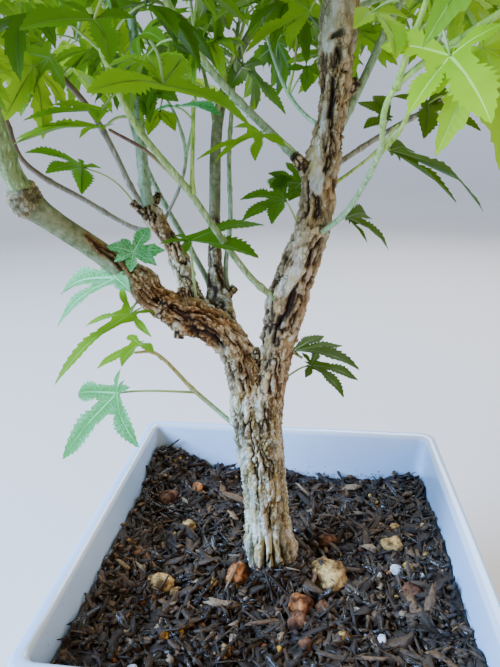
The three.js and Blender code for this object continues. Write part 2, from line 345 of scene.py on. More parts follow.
# How each bark grows: the size of its ridges and of its flakes, each round and along the limb, the
# relief's depth, the grid's step, and the runs between which cork gives way to smooth skin, in mm.
BARK_KINDS = {
    "trunk": {"plate": (3.6, 15), "flake": (1.9, 4.4), "depth": 3.1, "step": 0.5},
    "right_bough": {"plate": (4, 17), "flake": (2, 4.6), "depth": 2.6, "step": 0.5, "cork_ends": (155, 235)},
    "left_bough": {"plate": (3, 11), "flake": (1.3, 3), "depth": 2.7, "step": 0.5},
    "left_arm": {"plate": (2.6, 10), "flake": (1.6, 4), "depth": 1.5, "step": 0.6},
    "centre_bough": {"plate": (2.6, 8), "flake": (1.5, 3.4), "depth": 2.0, "step": 0.5},
    "back_bough": {"plate": (2.6, 10), "flake": (1.6, 4), "depth": 1.7, "step": 0.6, "cork_ends": (66, 80)},
}

# Deep cracks between plates, dark inside partly by their own brown and partly by painted shade: the limb, the
# crack's depth and width, and its way along the surface
CRACKS = [
    ("right_bough", 2.6, 1.0, [[7.4, -7, 311], [4.5, -8, 303.7], [3.1, -8, 298], [0.9, -8, 292.8],
                               [-2.2, -8, 288.7], [-3.2, -7, 281.6]]),
    ("right_bough", 2.4, 1.0, [[17.2, -5, 329], [13.9, -7, 324.3], [11.4, -8, 317]]),
    ("right_bough", 3.0, 1.6, [[18.9, -6, 391], [18.9, -6, 384], [18, -6, 378]]),
    ("right_bough", 2.6, 1.3, [[15.6, -7, 404.7], [19, -7, 405.6], [22.6, -7, 406.8]]),
    ("right_bough", 2.6, 1.2, [[20.3, -7, 401], [22.6, -7, 398.1]]),
    ("right_bough", 2.2, 0.9, [[17.9, -7, 366], [16.5, -8, 359], [15, -8, 349], [12, -8, 342]]),
    ("trunk", 2.0, 0.9, [[-10.5, -12, 262], [-8.5, -13, 257], [-7.5, -13, 247], [-9, -13, 236]]),
    ("trunk", 1.8, 0.8, [[-4.2, -12, 240], [-2.8, -12, 225], [1.2, -11, 209], [2.5, -10, 198]]),
    ("trunk", 1.5, 0.7, [[-9.5, -12, 231], [-10.6, -12, 218], [-8.1, -12, 205], [-7, -12, 192]]),
    ("trunk", 1.5, 0.7, [[-17.2, -9, 253], [-15.9, -9, 240], [-15.6, -8, 226]]),
    ("left_bough", 2.4, 0.9, [[-15.5, -7, 277], [-13.2, -7, 271], [-10.3, -7, 265]]),
    ("right_bough", 1.8, 0.8, [[-9.5, -7, 270], [-10, -7, 262]]),
    ("left_bough", 2.4, 1.5, [[-25, -9, 280], [-30.3, -12, 286], [-34, -13, 287.6], [-38, -14, 289]]),
    ("left_bough", 2.2, 1.6, [[-46, -17, 301], [-50, -19, 303], [-53, -19, 304]]),
]

# Smooth pale places, where the outer cork has scaled off: the limb, the reach and a line along each
SCARS = [
    ("trunk", 6.0, [[-3.5, -13, 171], [-3.8, -13, 176]]),
    ("right_bough", 9.5, [[17, -8, 421], [16, -8, 404]]),
    ("right_bough", 5.0, [[15, -7.5, 400], [15.4, -7.5, 396], [16.8, -7.5, 388], [16.1, -7.5, 379],
                          [14.6, -7.5, 372], [13.9, -7.5, 363], [14.8, -8, 351]]),
    ("right_bough", 5.5, [[9.8, -8, 322], [8.2, -8, 317], [5.3, -8, 312], [1.8, -8, 307]]),
    ("trunk", 4.0, [[-14.5, -10, 205], [-13, -11, 190], [-12, -11, 180]]),
]

# Swellings of a limb's own: the limb, the centre, the height and the reach
SWELLINGS = [
    ("right_bough", [9, 0, 359], 1.6, 8),
    ("right_bough", [6, -5, 299], 1.4, 9),
    ("right_bough", [24, 0, 388], 0.6, 7),
    ("left_arm", [-95, -39.5, 348.5], 2.6, 6),
    ("left_bough", [-44, -8, 290], 2.0, 8),
    ("left_bough", [-58, -14, 312], 1.6, 7),
    ("centre_bough", [-50, 18, 312], 1.6, 7),
    ("centre_bough", [-65, 24, 335], 2.0, 7),
    ("back_bough", [-31, 16, 293], 1.8, 7),
]

# Where the cork is torn and fox-brown: a share all over a limb, and spots as limb, centre and reach
TORN_ALL_OVER = {"trunk": 0.0, "right_bough": 0.62, "left_bough": 0.5}
TORN = [
    ("left_bough", [-36, -7, 291], 17), ("left_bough", [-53, -13, 302], 16),
    ("left_arm", [-62, -16, 313], 20), ("left_arm", [-72, -24, 329], 14),
    ("centre_bough", [-58, 21, 325], 14), ("centre_bough", [-40, 9, 294], 8),
    ("right_bough", [24, -4, 420], 7), ("right_bough", [21, -5, 350], 6),
]
# The line of torn cork along the smooth arm
TORN_STRIP = [[-76.5, -26, 331.5], [-70.5, -23.5, 326.5], [-60, -19, 315]]

# Heights on the trunk: where it starts and ends to flatten towards the fork, where its plates turn to
# long ropes further down, and the middle of its foot, in mm
FLATTENING = (226, 256)
ROPES = (206, 178)
FOOT_MIDDLE = 165
# Ridges round half the foot, and the gap in mm between the growth rings on the left arm's knuckle
FOOT_RIDGES = 7
RING_SPACING = 2.4


def crossing_distance(noise, steps):
    """The distance in mm to where a noise on a grid crosses zero: its size over its slope.

    steps are the grid's steps in mm along the limb and round it. The slope is kept above a tenth."""
    along = np.gradient(noise, axis=0) / steps[0]
    round_it = (np.roll(noise, -1, 1) - np.roll(noise, 1, 1)) / (2 * steps[1])
    return np.abs(noise) / np.sqrt(along**2 + round_it**2 + 0.1**2)


def bark_relief(rolled, steps, kind, ropes, seed):
    """Cork bark's height from about 0 to 1.3, and each flake's own random number.

    Fissures run where a long-drawn noise crosses zero, so ridges between them twist and join like
    ropes. Finer fissures split the ridges, and small torn flakes stand at steps of their own.
    Where the share of ropes is 1 the ridges are long, round and smooth, with no flakes."""
    wide, long = kind["plate"]
    thin, short = kind["flake"]
    wander = np.stack([field(rolled / (5, 5, 12), seed + k) for k in (0, 1, 2)], -1)
    bent = rolled + wander * (0.6 * wide, 0.6 * wide, 0.25 * long)
    coarse = field(bent / (wide, wide, long), seed + 5)
    fine = field(bent / (0.42 * wide, 0.42 * wide, 0.4 * long), seed + 6)
    finer = field(bent / (0.2 * wide, 0.2 * wide, 0.16 * long), seed + 7)
    opening = 0.95 + 0.6 * field(rolled / (5, 5, 9), seed + 12)
    away = crossing_distance(coarse + 0.4 * fine + 0.22 * finer, steps)
    fissure = smooth_step(0.0, 1.0, away / opening)
    dome = smooth_step(0.0, 0.5 * wide, away)
    split = smooth_step(0.0, 0.5, crossing_distance(fine - 0.3 * coarse + 0.2 * finer, steps))
    grooves = smooth_step(0.0, 0.4, np.abs(field(rolled / (1.0, 1.0, 8), seed + 8)))
    gap, number, offset = cells_at(bent / (thin, thin, short), seed + 11)
    torn = smooth_step(0.0, 0.16, gap)
    tilt = offset[..., 2] * np.cos(40 * number) + offset[..., 0] * np.sin(60 * number)
    fibres = layered(rolled / (0.5, 0.5, 4.0), seed + 23, 2)
    plates = 0.2 + 0.26 * number + 0.36 * tilt + 0.2 * torn + 0.22 * split + 0.12 * dome
    height = (0.04 + 0.96 * fissure) * plates
    height = height + 0.16 * (grooves - 1) + 0.12 * fibres
    strand = field(bent / (0.8 * wide, 0.8 * wide, 2.6 * long), seed + 9)
    branch = field(bent / (0.45 * wide, 0.45 * wide, 1.3 * long), seed + 10)
    beside = crossing_distance(strand + 0.4 * branch, steps)
    rope = 0.5 * smooth_step(0.0, 1.0, beside / (opening + 0.2)) + 0.3 * smooth_step(0.0, 2.0, beside)
    smooth = rope + 0.3 * smooth_step(0, 0.8, crossing_distance(branch, steps)) + 0.08 * fibres
    return np.clip(height + (smooth - height) * ropes, 0, 1.3), number


def bark_surface(name, path, others, seed):
    """The points of a limb's bark, ring by ring, and at each its height, flake number, cork and tear.

    A point is the centre line, plus the radius and the bark's rise along the direction outwards."""
    kind = BARK_KINDS[name]
    girth = FULL_TURN * path.radius.mean()
    columns = int(girth / kind["step"] / 2) * 2
    angles, out = path.spokes(columns)
    skin = path.centre[:, None] + path.radius[:, None, None] * out
    if name == "trunk":
        flat = 1 - 0.3 * smooth_step(*FLATTENING, path.centre[:, 2])
        skin[..., 1] = path.centre[:, None, 1] + (skin[..., 1] - path.centre[:, None, 1]) * flat[:, None]
    run = np.broadcast_to(path.run[:, None], angles.shape)
    rolled = np.stack([np.cos(angles) * girth / FULL_TURN, np.sin(angles) * girth / FULL_TURN, run], -1)
    ropes = 0.12 + 0 * run
    if name == "trunk":
        ropes = 0.25 + 0.45 * smooth_step(*ROPES, skin[..., 2] + 14 * field(rolled / (6, 6, 16), seed + 21))
    steps = (path.run[1], girth / columns)
    height, number = bark_relief(rolled, steps, kind, ropes, seed)

    # Strands that run up the limb, and a foot that spreads into the soil
    strands = layered(rolled / (4.5, 4.5, 34), seed + 31, 2)
    foot = 0.0
    if name == "trunk":
        ridges = np.abs(np.cos(FOOT_RIDGES * angles + 1.6 * field(rolled / (9, 9, 30), seed + 41)))
        low = np.exp(-(((skin[..., 2] - FOOT_MIDDLE) / 13) ** 2))
        gaps = np.exp(-((ridges / 0.36) ** 2)) * np.exp(-np.maximum(skin[..., 2] - FOOT_MIDDLE + 1, 0) / 15)
        foot = (3.2 * ridges - 1.8) * low - 2.2 * gaps

    # Smooth scars lie a little proud, with no relief of cork
    cork = cork_share(name, path, skin, run, seed)
    scar = np.zeros_like(run)
    for limb, reach, line in SCARS:
        if limb == name:
            distance = line_distance(skin, line) + 1.2 * field(rolled / 3, seed + 51)
            scar = np.maximum(scar, 1 - smooth_step(0.45 * reach, 0.75 * reach, distance))
    rough = cork * (1 - 0.85 * scar)
    depth = kind["depth"] * np.minimum(path.radius / 4.5, 1)[:, None]
    rise = depth * rough * (height - 0.66) + (0.35 + 0.75 * rough) * strands + foot
    rise = rise + scar * 0.3 + (1 - cork) * 0.12 * layered(rolled / (2.5, 2.5, 6), seed + 61, 2)

    # How high each point stands in the relief, which sets its colour, and marks of each limb, with painted
    # shade in the foot's gaps, the cracks and up the back bough
    lift = np.where(rough > 0, height, 0.8) * rough + (1 - rough) * 0.85
    # Painted shade: the trunk's colour is darkened in the gaps between the foot's ridges
    if name == "trunk":
        lift = lift * (1 - 0.85 * gaps)
    # Painted shade: the back bough is darkened from 286 mm up, where it stands in the crown's shadow
    if name == "back_bough":
        lift = lift * (1 - 0.4 * smooth_step(286, 300, skin[..., 2]))
    if name == "left_arm":
        ragged = 0.5 * field(skin / 3, seed + 101)
        rings = np.cos(FULL_TURN * (run + ragged) / RING_SPACING) * smooth_step(0.84, 0.88, run / path.length)
        rise = rise + 0.3 * rings
        lift = lift * (0.85 + 0.15 * rings)
    # Cracks cut in and turn near black: partly the crack's own brown, partly painted shade
    for limb, deep, wide, line in CRACKS:
        if limb == name:
            ragged = 0.35 * field(rolled / (1.5, 1.5, 4), seed + 91)
            groove = 1 - smooth_step(0.3 * wide, 1.4 * wide, line_distance(skin, line) + ragged)
            rise = rise - deep * groove
            lift = lift * (1 - 0.95 * groove)
    for limb, centre, high, reach in SWELLINGS:
        if limb == name:
            distance = np.linalg.norm(skin - centre, axis=-1)
            rise = rise + high * np.exp(-((distance / reach) ** 2))
    web = [np.exp(-((nearest(skin, other) / 3.0) ** 2)) for other in others]
    if web:
        rise = rise + (0.4 if name == "trunk" else 1.2) * np.maximum.reduce(web)

    points = skin + rise[..., None] * out
    torn = torn_share(name, skin, seed) * (1 - 0.6 * scar)
    values = {"lift": np.clip(lift, 0, 1), "number": np.maximum(number, scar), "cork": cork, "torn": torn}
    return points, columns, values


def cork_share(name, path, skin, run, seed):
    """1 where a limb has cork and 0 where its skin is still smooth and green, with ragged edges."""
    ragged = field(skin / 5, seed + 71)
    if name == "left_arm":
        strip = 1 - smooth_step(2.2, 3.6, line_distance(skin, TORN_STRIP) + 1.6 * ragged)
        start = 1 - smooth_step(4, 12, run + 5 * ragged)
        knuckle = 0.75 * smooth_step(0.85, 0.9, run / path.length + 0.04 * ragged)
        return np.maximum.reduce([strip, start, knuckle])
    if "cork_ends" in BARK_KINDS[name]:
        return 1 - smooth_step(*BARK_KINDS[name]["cork_ends"], run + 9 * ragged)
    return np.ones_like(run)


def bark_material():
    """Cork bark of a young maple: ridges bleached to cream and grey, torn flanks, dark narrow fissures whose
    dark is partly the cork's own brown and partly painted shade.

    Torn cork is fox-brown. Smooth limbs show a grey-green skin with fine pale streaks instead."""
    material, tree = new_material("Cork bark, weathered")
    lift, number, cork, torn = (
        add_node(tree, "Attribute", output="Fac", attribute_name=name)
        for name in ("lift", "number", "cork", "torn"))
    speckle = add_node(tree, "TexNoise", [in_millimetres(tree, 0.9, 0.9, 2.6), 1, 5, 0.65])
    patches = add_node(tree, "TexNoise", [in_millimetres(tree, 9, 9, 19), 1, 4, 0.55])
    bands = add_node(tree, "TexNoise", [in_millimetres(tree, 2, 2, 22), 1, 3, 0.55])
    hues = add_node(tree, "TexNoise", [in_millimetres(tree, 5, 5, 11), 1, 2, 0.55])
    streaks = add_node(tree, "TexNoise", [in_millimetres(tree, 3.2, 3.2, 3.2), 1, 5, 0.6])
    grain = add_node(tree, "TexNoise", [in_millimetres(tree, 0.5, 0.5, 1.6), 1, 5, 0.65])
    cells = add_node(tree, "TexVoronoi", {"Vector": in_millimetres(tree, 1.5, 1.5, 3.2), "Scale": 1.0},
                     feature="DISTANCE_TO_EDGE")
    unsettled = add_node(tree, "Math", [speckle, 0.5, -0.25], operation="MULTIPLY_ADD")
    height = add_node(tree, "Math", [lift, unsettled], operation="ADD")

    # The bleached faces of the ridges: each flake in a tone of its own, in patches and long bands
    own = add_node(tree, "Math", [patches, 1.3, -1.2], operation="MULTIPLY_ADD")
    for share, weight in ((number, 0.3), (lift, 0.5), (unsettled, 2.0), (bands, 1.0)):
        own = add_node(tree, "Math", [share, weight, own], operation="MULTIPLY_ADD")
    face = add_node(tree, "ValToRGB", [own], stops=[
        (0, "6a5839"), (0.25, "a8976c"), (0.5, "cabf96"), (0.7, "dcd6b8"), (0.88, "f0ecde"), (1, "c4c4b8"),
    ])
    tint = add_node(tree, "ValToRGB", [hues], stops=[
        (0.36, "c9d4dc"), (0.47, "ffffff"), (0.54, "ffffff"), (0.64, "ece0b0"),
    ])
    face = add_node(tree, "Mix", [0.9, face, tint], data_type="RGBA", blend_type="MULTIPLY")

    # Darker flanks under the faces, and fox-brown cork where it is torn; both go near black low in the
    # relief, partly the cork's own brown and partly painted shade
    flank = add_node(tree, "ValToRGB", [height], stops=[(0.0, "181009"), (0.18, "38291a"), (0.4, "776444")])
    raised = add_node(tree, "MapRange", [height, 0.24, 0.56], interpolation_type="SMOOTHSTEP")
    colour = add_node(tree, "Mix", [raised, flank, face], data_type="RGBA")
    brown = add_node(tree, "ValToRGB", [height], stops=[
        (0.0, "1a1009"), (0.25, "452a16"), (0.5, "7e5a32"), (0.72, "ac8652"), (0.95, "d8ba8c"),
    ])
    colour = add_node(tree, "Mix", [torn, colour, brown], data_type="RGBA")

    # Hairline cracks, which fade out in dry patches, and the smooth skin where there is no cork
    whole = add_node(tree, "MapRange", [cells, 0.02, 0.12], interpolation_type="SMOOTHSTEP")
    dry = add_node(tree, "MapRange", [patches, 0.42, 0.56, 0.0, 0.85], interpolation_type="SMOOTHSTEP")
    whole = add_node(tree, "Math", [whole, dry], operation="MAXIMUM")
    cracked = add_node(tree, "Mix", [0.72, colour, "3d2c1b"], data_type="RGBA")
    colour = add_node(tree, "Mix", [whole, cracked, colour], data_type="RGBA")
    skin = add_node(tree, "ValToRGB", [streaks], stops=[
        (0.32, "62693f"), (0.5, "848a62"), (0.66, "9a9f7c"), (0.78, "bcbfa6"),
    ])
    rough = add_node(tree, "Math", [whole, 0.5, grain], operation="MULTIPLY_ADD")
    surface = add_node(tree, "BsdfPrincipled", {
        "Base Color": add_node(tree, "Mix", [cork, skin, colour], data_type="RGBA"),
        "Roughness": 0.8,
        "Specular IOR Level": 0.3,
        "Normal": add_node(tree, "Bump", {"Height": rough, "Distance": 0.6 * MM}),
    })
    add_node(tree, "OutputMaterial", [surface])
    return material


def torn_share(name, skin, seed):
    """1 where the cork of a limb is torn and 0 elsewhere, with a ragged edge."""
    ragged = 4 * field(skin / 4, seed + 81)
    share = np.full(skin.shape[:-1], TORN_ALL_OVER.get(name, 0.3))
    for limb, centre, reach in TORN:
        if limb == name:
            away = np.linalg.norm(skin - centre, axis=-1) + ragged
            share = np.maximum(share, 1 - smooth_step(0.6 * reach, reach, away))
    return share


# The limbs that each limb's bark runs into, where it rises in a web
MEETINGS = {
    "trunk": ("right_bough", "left_bough"),
    "right_bough": ("left_bough",),
    "left_bough": ("right_bough", "centre_bough", "back_bough"),
    "left_arm": (),
    "centre_bough": ("left_bough",),
    "back_bough": ("left_bough", "centre_bough"),
}


def build_bark():
    """Each thick limb as one skin of bark, and the stubs of pruned twigs."""
    material = bark_material()
    paths = {name: Path(stations, BARK_KINDS[name]["step"]) for name, stations in BARK_STATIONS.items()}
    for seed, (name, path) in enumerate(paths.items()):
        others = [paths[other] for other in MEETINGS[name]]
        points, columns, values = bark_surface(name, path, others, 100 * seed + 7)
        points = np.vstack([points.reshape(-1, 3), path.centre[0], path.centre[-1] + path.along[-1] * 1.2])
        shares = {title: np.append(one.ravel(), [one[0, 0], one[-1, 0]]) for title, one in values.items()}
        tube = (points, tube_faces(path.rows, columns), shares, material)
        join_tubes(name + "_bark", [tube], "cork_bark", name)
    build_stubs(material)
    return paths


# Stubs of pruned twigs: start, end and width at each, in mm
STUBS = [
    ([-10.5, 3, 258], [-11.4, -2.5, 276.5], 5, 4),
    ([-44, -9, 296], [-45, -14, 285], 8, 4),
    ([-44, -8, 296], [-43.5, -8.5, 307], 6, 3.5),
    ([-50, -15, 303], [-52, -19, 296], 5, 3),
    ([22, 1, 384], [29.5, 3, 390.5], 6, 4.5),
    ([10, -2, 357], [5, -5, 363], 6.5, 4),
    ([-62, 21, 330], [-72, 17, 342], 4.5, 3.2),
    ([-66, 25, 334], [-62, 29, 345], 4.5, 3.4),
    ([-31, 17, 292], [-24, 22, 300], 5.5, 4),
    ([20, -4, 420], [27, -9, 428], 5.5, 4),
]
# Points round a stub, and the gap between its rings in mm
STUB_COLUMNS = 22
STUB_STEP = 0.5


def build_stubs(material):
    """Short ragged tubes of bark, with a flat end where the twig was cut.

    Irregular plates stand up to 0.5 mm out of each tube, and the cracks between them are as deep."""
    tubes = []
    for seed, (start, end, wide, narrow) in enumerate(STUBS):
        path = Path([[*start, wide], [*end, narrow]], STUB_STEP)
        out = path.spokes(STUB_COLUMNS)[1]
        skin = path.centre[:, None] + path.radius[:, None, None] * out
        gap, number, _ = cells_at(skin / (2.4, 2.4, 3.4), 900 + seed)
        height = smooth_step(0.02, 0.3, gap) * (0.6 + 0.5 * number)
        skin = skin + ((height - 0.5) * 0.9)[..., None] * out
        points = np.vstack([skin.reshape(-1, 3), path.centre[0], path.centre[-1]])
        shares = {
            "lift": np.clip(np.append(height.ravel(), [0.3, 0.25]), 0, 1),
            "number": np.append(number.ravel(), [0.5, 0.2]),
            "cork": np.ones(len(points)),
            "torn": np.full(len(points), 0.1 if seed == 0 else 0.6),
        }
        tubes.append((points, tube_faces(path.rows, STUB_COLUMNS), shares, material))
    join_tubes("pruned_stubs_bark", tubes, "cork_bark")


# Shoots: the skin at the base and at the tip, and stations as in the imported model

SHOOTS = {
    "left_shoot": ("olive", "sage", [
        [-94, -38.5, 347, 5.4], [-94.6, -40, 352, 7.4], [-96.5, -43, 360, 7.8], [-99, -50, 382, 7],
        [-108, -60, 402, 6], [-114, -66, 416, 5]]),
    "centre_shoot": ("grey_green", "grey_green", [
        [-65, 24, 333, 6], [-69, 27, 358, 5.8], [-70, 32, 389, 5.2], [-74, 44, 424, 4.4]]),
    "brown_shoot": ("ash", "russet", [
        [-64, 24, 333, 3], [-72, 24, 344, 3], [-90, 20, 384, 2.8], [-112, 14, 408, 2.6],
        [-134, 18, 424, 2.4]]),
    "low_left_twig": ("frost", "straw", [
        [-12, 2, 226, 2.6], [-26, 4, 235, 2.4], [-42, 4, 249.5, 2.4], [-61, 0, 272, 1.7],
        [-70, -3, 273, 1.2]]),
    "low_right_twig": ("straw", "straw", [
        [-6, 4, 262, 1.8], [4, 16, 268, 1.6], [10, 20, 264, 1.4]]),
    "inner_left_shoot": ("sage", "fresh", [
        [2, -2, 298, 3], [-13, -9, 313, 2.9], [-34.5, -22, 349, 2.8], [-52, -34, 376, 2.5],
        [-59, -48, 408, 2.2], [-57, -84, 476, 2]]),
    "upper_left_shoot": ("grey_green", "fresh", [
        [15, 0, 353, 3.8], [2, -2, 365.5, 3.4], [-27.5, -18, 395.5, 2.9], [-44, -28, 424, 2.5],
        [-70, -22, 486, 2.4]]),
    "right_shoot": ("frost", "fresh", [
        [14, -3, 329, 2.6], [26.5, -14, 341, 2.2], [35, -42, 364, 2], [36, -66, 382, 1.8],
        [82, -82, 412, 1.8]]),
    "upper_right_shoot": ("grey_green", "sage", [
        [20, 0, 366, 3.6], [31.5, 6, 390, 3.3], [48, 12, 425, 3], [84, 12, 488, 2.6]]),
    "grey_twig": ("ash", "ash", [
        [18, 2, 356, 2.4], [42, 14, 370.5, 2.4], [75, 30, 388, 2.2], [126, 42, 420, 2]]),
    "back_right_side": ("grey_green", "sage", [
        [21, -2, 405, 4], [28, 26, 420, 3.8], [50, 64, 436, 3.2], [72, 92, 450, 2.8]]),
    "front_side": ("grey_green", "sage", [[20, -3, 432, 4], [22, -28, 454, 3.8], [29, -92, 488, 3]]),
    "upper_right_side": ("grey_green", "sage", [[16, -2, 470, 4], [32, -10, 500, 3.8], [62, -32, 552, 3]]),
    "upper_left_side": ("grey_green", "sage", [[13, 0, 492, 4], [-10, -4, 520, 3.6], [-50, -6, 564, 3]]),
    "back_left_side": ("grey_green", "sage", [[17, -2, 452, 4], [-4, 18, 472, 3.6], [-44, 58, 504, 3]]),
    "upper_back_side": ("sage", "sage", [[11, 2, 512, 3.6], [9, 22, 530, 3.2], [14, 58, 558, 2.8]]),
    "upper_front_side": ("sage", "sage", [[9.5, 2, 532, 3.4], [9, -22, 550, 3], [4, -68, 572, 2.6]]),
}
# Shoots with no CAD node: they are too thin for a solid of their own
THIN_SHOOTS = [
    ("grey_green", "sage", [
        [-28, 24, 296, 2.6], [-29, 26, 306.6, 2.5], [-27.5, 30, 329, 2.4], [-27, 38, 378, 2.2],
        [-24, 48, 420, 2]]),
    ("grey_green", "grey_green", [
        [-36, 24, 298, 3.2], [-41, 28, 306, 3], [-60, 36, 336, 3], [-66.5, 40, 347, 3], [-75, 44, 365, 3],
        [-84, 50, 400, 2.6], [-90, 56, 428, 2.2]]),
    ("ash", "russet", [
        [-66, 23, 327, 2.6], [-73.7, 22, 329, 2.5], [-93.5, 10, 344, 2.5], [-107, 0, 355, 2.5],
        [-113, -4, 363, 2.2], [-115, -8, 378, 2], [-124, -14, 410, 1.8]]),
    ("straw", "russet", [[-34.5, -22, 349, 1.7], [-50, -24, 364.5, 1.5], [-64, -26, 373, 1.2]]),
    ("fresh", "fresh", [[-33.7, -22, 349, 1.8], [-33, -20, 376, 1.6], [-33, -19, 383, 1.3]]),
    ("ash", "frost", [
        [-60, 24, 330, 1.5], [-51, 26, 347.5, 1.7], [-47.5, 28, 362, 1.9], [-51, 30, 378, 1.5],
        [-58, 30, 392, 1.1]]),
    ("frost", "fresh", [[-47.5, 28, 362, 1.6], [-44, 29, 374, 1.4], [-42, 30, 388, 1.1]]),
    ("fresh", "fresh", [[20, 1, 350, 1.8], [25, 4, 353, 1.4], [39, 0, 364.5, 1.3], [46, -2, 374, 1.1]]),
    ("frost", "sage", [
        [17, 2, 374, 2], [12, 8, 376.5, 1.8], [1.4, 14, 387.6, 1.7], [-7, 20, 407, 1.6],
        [-12, 24, 430, 1.4]]),
    ("fresh", "straw", [[1.4, 14, 387.6, 1.2], [4, 15, 398, 1], [5, 16, 412, 0.8]]),
    ("fresh", "fresh", [[36, -66, 382, 1.7], [38, -74, 392, 1.6], [40, -84, 404, 1.4], [44, -92, 430, 1.3]]),
    ("fresh", "fresh", [
        [35, -42, 364, 1.6], [40.5, -48, 370.7, 1.5], [42.6, -54, 378.5, 1.4], [43.4, -60, 386, 1.2]]),
    ("straw", "fresh", [[-34, 40, 380, 2], [-30, 42, 396, 1.8], [-22, 44, 416, 1.6], [-16, 44, 440, 1.4]]),
    ("sage", "fresh", [[-34, 38, 372, 1.8], [-38, 40, 392, 1.8], [-44, 44, 416, 1.6], [-46, 44, 440, 1.3]]),
    ("sage", "fresh", [[-44, -28, 424, 2.2], [-40, -40, 436, 2], [-34, -60, 452, 1.8]]),
    ("russet", "russet", [[-112, 14, 408, 2.2], [-122, 4, 420, 2], [-130, -10, 440, 1.8]]),
]
# The gap between a shoot's rings in mm, the points round it, and the gap between its nodes in mm
SHOOT_STEP = 1.5
SHOOT_COLUMNS = 12
NODE_SPACING = 27.0
THIN_SEED = 50

# Skins of the shoots: shade, face twice, and bloom, which is the waxy film that rubs off in streaks
SKINS = {
    "olive": ("4a5a22", "788a4a", "788a4a", "b4c898"),
    "sage": ("566a26", "8ca066", "8ca066", "cbd8b8"),
    "grey_green": ("5c7347", "8fa57e", "8fa57e", "c3d1b8"),
    "fresh": ("6f9428", "a6c452", "a6c452", "cddd8e"),
    "frost": ("6c9458", "a0c08c", "a0c08c", "d6e6c6"),
    "straw": ("857c33", "b3ac64", "b3ac64", "d4cd98"),
    "ash": ("665f4d", "958f7b", "958f7b", "cac7b6"),
    "russet": ("452c1f", "6f4c35", "6f4c35", "9c7c62"),
}


def shoot_skin(base, tip):
    """Young maple skin: smooth, faintly shiny, with a streaky pale bloom. It changes from base to tip.

    Each pair of colours is made once."""
    name = f"Maple shoot skin, {base} to {tip}".replace("_", " ")
    if name in bpy.data.materials:
        return bpy.data.materials[name]
    material, tree = new_material(name)
    streaks = add_node(tree, "TexNoise", [in_millimetres(tree, 1.3, 1.3, 5), 1, 4, 0.6])
    fine = add_node(tree, "TexNoise", [in_millimetres(tree, 0.5, 0.5, 1.2), 1, 2, 0.55])
    old, young = (
        add_node(tree, "ValToRGB", [streaks], stops=list(zip((0.34, 0.46, 0.56, 0.68), colours)))
        for colours in (SKINS[base], SKINS[tip]))
    age = add_node(tree, "Attribute", output="Fac", attribute_name="age")
    wander = add_node(tree, "Math", [streaks, 0.5, -0.25], operation="MULTIPLY_ADD")
    aged = add_node(tree, "Math", [age, wander], operation="ADD")
    share = add_node(tree, "MapRange", [aged, 0.15, 0.75], interpolation_type="SMOOTHSTEP")
    surface = add_node(tree, "BsdfPrincipled", {
        "Base Color": add_node(tree, "Mix", [share, old, young], data_type="RGBA"),
        "Roughness": 0.48,
        "Specular IOR Level": 0.4,
        "Normal": add_node(tree, "Bump", {"Height": fine, "Distance": 0.08 * MM, "Strength": 0.7}),
    })
    add_node(tree, "OutputMaterial", [surface])
    return material


def shoot_nodes(length, seed):
    """The runs of a shoot's nodes, where a pair of leaves or their scars sit."""
    start = NODE_SPACING * (0.55 + 0.4 * scatter(np.array([[seed, 0, 0]]), 5)[0])
    return np.arange(start, length, NODE_SPACING)


def shoot_tube(stations, seed):
    """One shoot: a tube that swells at its collar and at each node, and bends a little there.

    radius = width / 2 * (1 + 0.6 exp(-run / 3) + 0.25 exp(-(way to a node / 1.3)^2))"""
    path = Path(stations, SHOOT_STEP)
    nodes = shoot_nodes(path.length, seed)
    to_node = np.abs(path.run[:, None] - nodes).min(axis=1) if len(nodes) else path.run + 99
    swell = 1 + 0.6 * np.exp(-path.run / 3) + 0.25 * np.exp(-((to_node / 1.3) ** 2))
    start = nodes[0] if len(nodes) else 0
    sway = np.sin(FULL_TURN * (path.run - start) / (2 * NODE_SPACING)) * np.minimum(path.radius * 0.35, 0.5)
    fade = np.minimum(path.run, path.length - path.run) / path.length
    centre = path.centre + (sway * np.minimum(fade * 6, 1))[:, None] * path.side
    tip = centre[-1] + path.along[-1] * path.radius[-1]
    points, age = smooth_tube(path, SHOOT_COLUMNS, centre, path.radius * swell, tip)
    return path, (points, tube_faces(path.rows, SHOOT_COLUMNS), age)


def build_shoots():
    """Every green shoot. Those of a CAD node are a piece each, and the thinnest are one piece."""
    paths = {}
    for seed, (name, (base, tip, stations)) in enumerate(SHOOTS.items()):
        paths[name], tube = shoot_tube(stations, seed)
        join_tubes(name + "_skin", [(*tube, shoot_skin(base, tip))], "green_stem", name)
    tubes = []
    for seed, (base, tip, stations) in enumerate(THIN_SHOOTS):
        paths[f"thin_{seed}"], tube = shoot_tube(stations, THIN_SEED + seed)
        tubes.append((*tube, shoot_skin(base, tip)))
    join_tubes("thin_shoots_skin", tubes, "green_stem")
    return paths


# Leaves. A blade has seven pointed lobes, split two thirds of the way down, with toothed edges.
# A point on it is (lobe, share along the lobe, half width to its right as a share of its length).

# The way from a blade's base to its notches is a share of the lobes' mean length
LOBE_ANGLES = np.radians([-122, -78, -39, 0, 39, 78, 122])
LOBE_LENGTHS = np.array([0.36, 0.72, 0.93, 1.0, 0.93, 0.72, 0.36])
NOTCH_REACH = 0.27
SMALL_LOBES = (0, 6)


def lobe_half_width(share):
    """Half a lobe's width at a share of the way from the notch to its drawn-out tip."""
    return 0.058 * (1 - share) + 0.088 * np.sin(np.pi * share**0.85) ** 1.25


def rib_half_width(along):
    """Half a main vein's width, which narrows to the tip."""
    return 0.011 * (1 - along) ** 0.7


def add_face(faces, corners):
    """Adds a face to its list, by the count of its corners."""
    faces.setdefault(len(corners), []).append(corners)


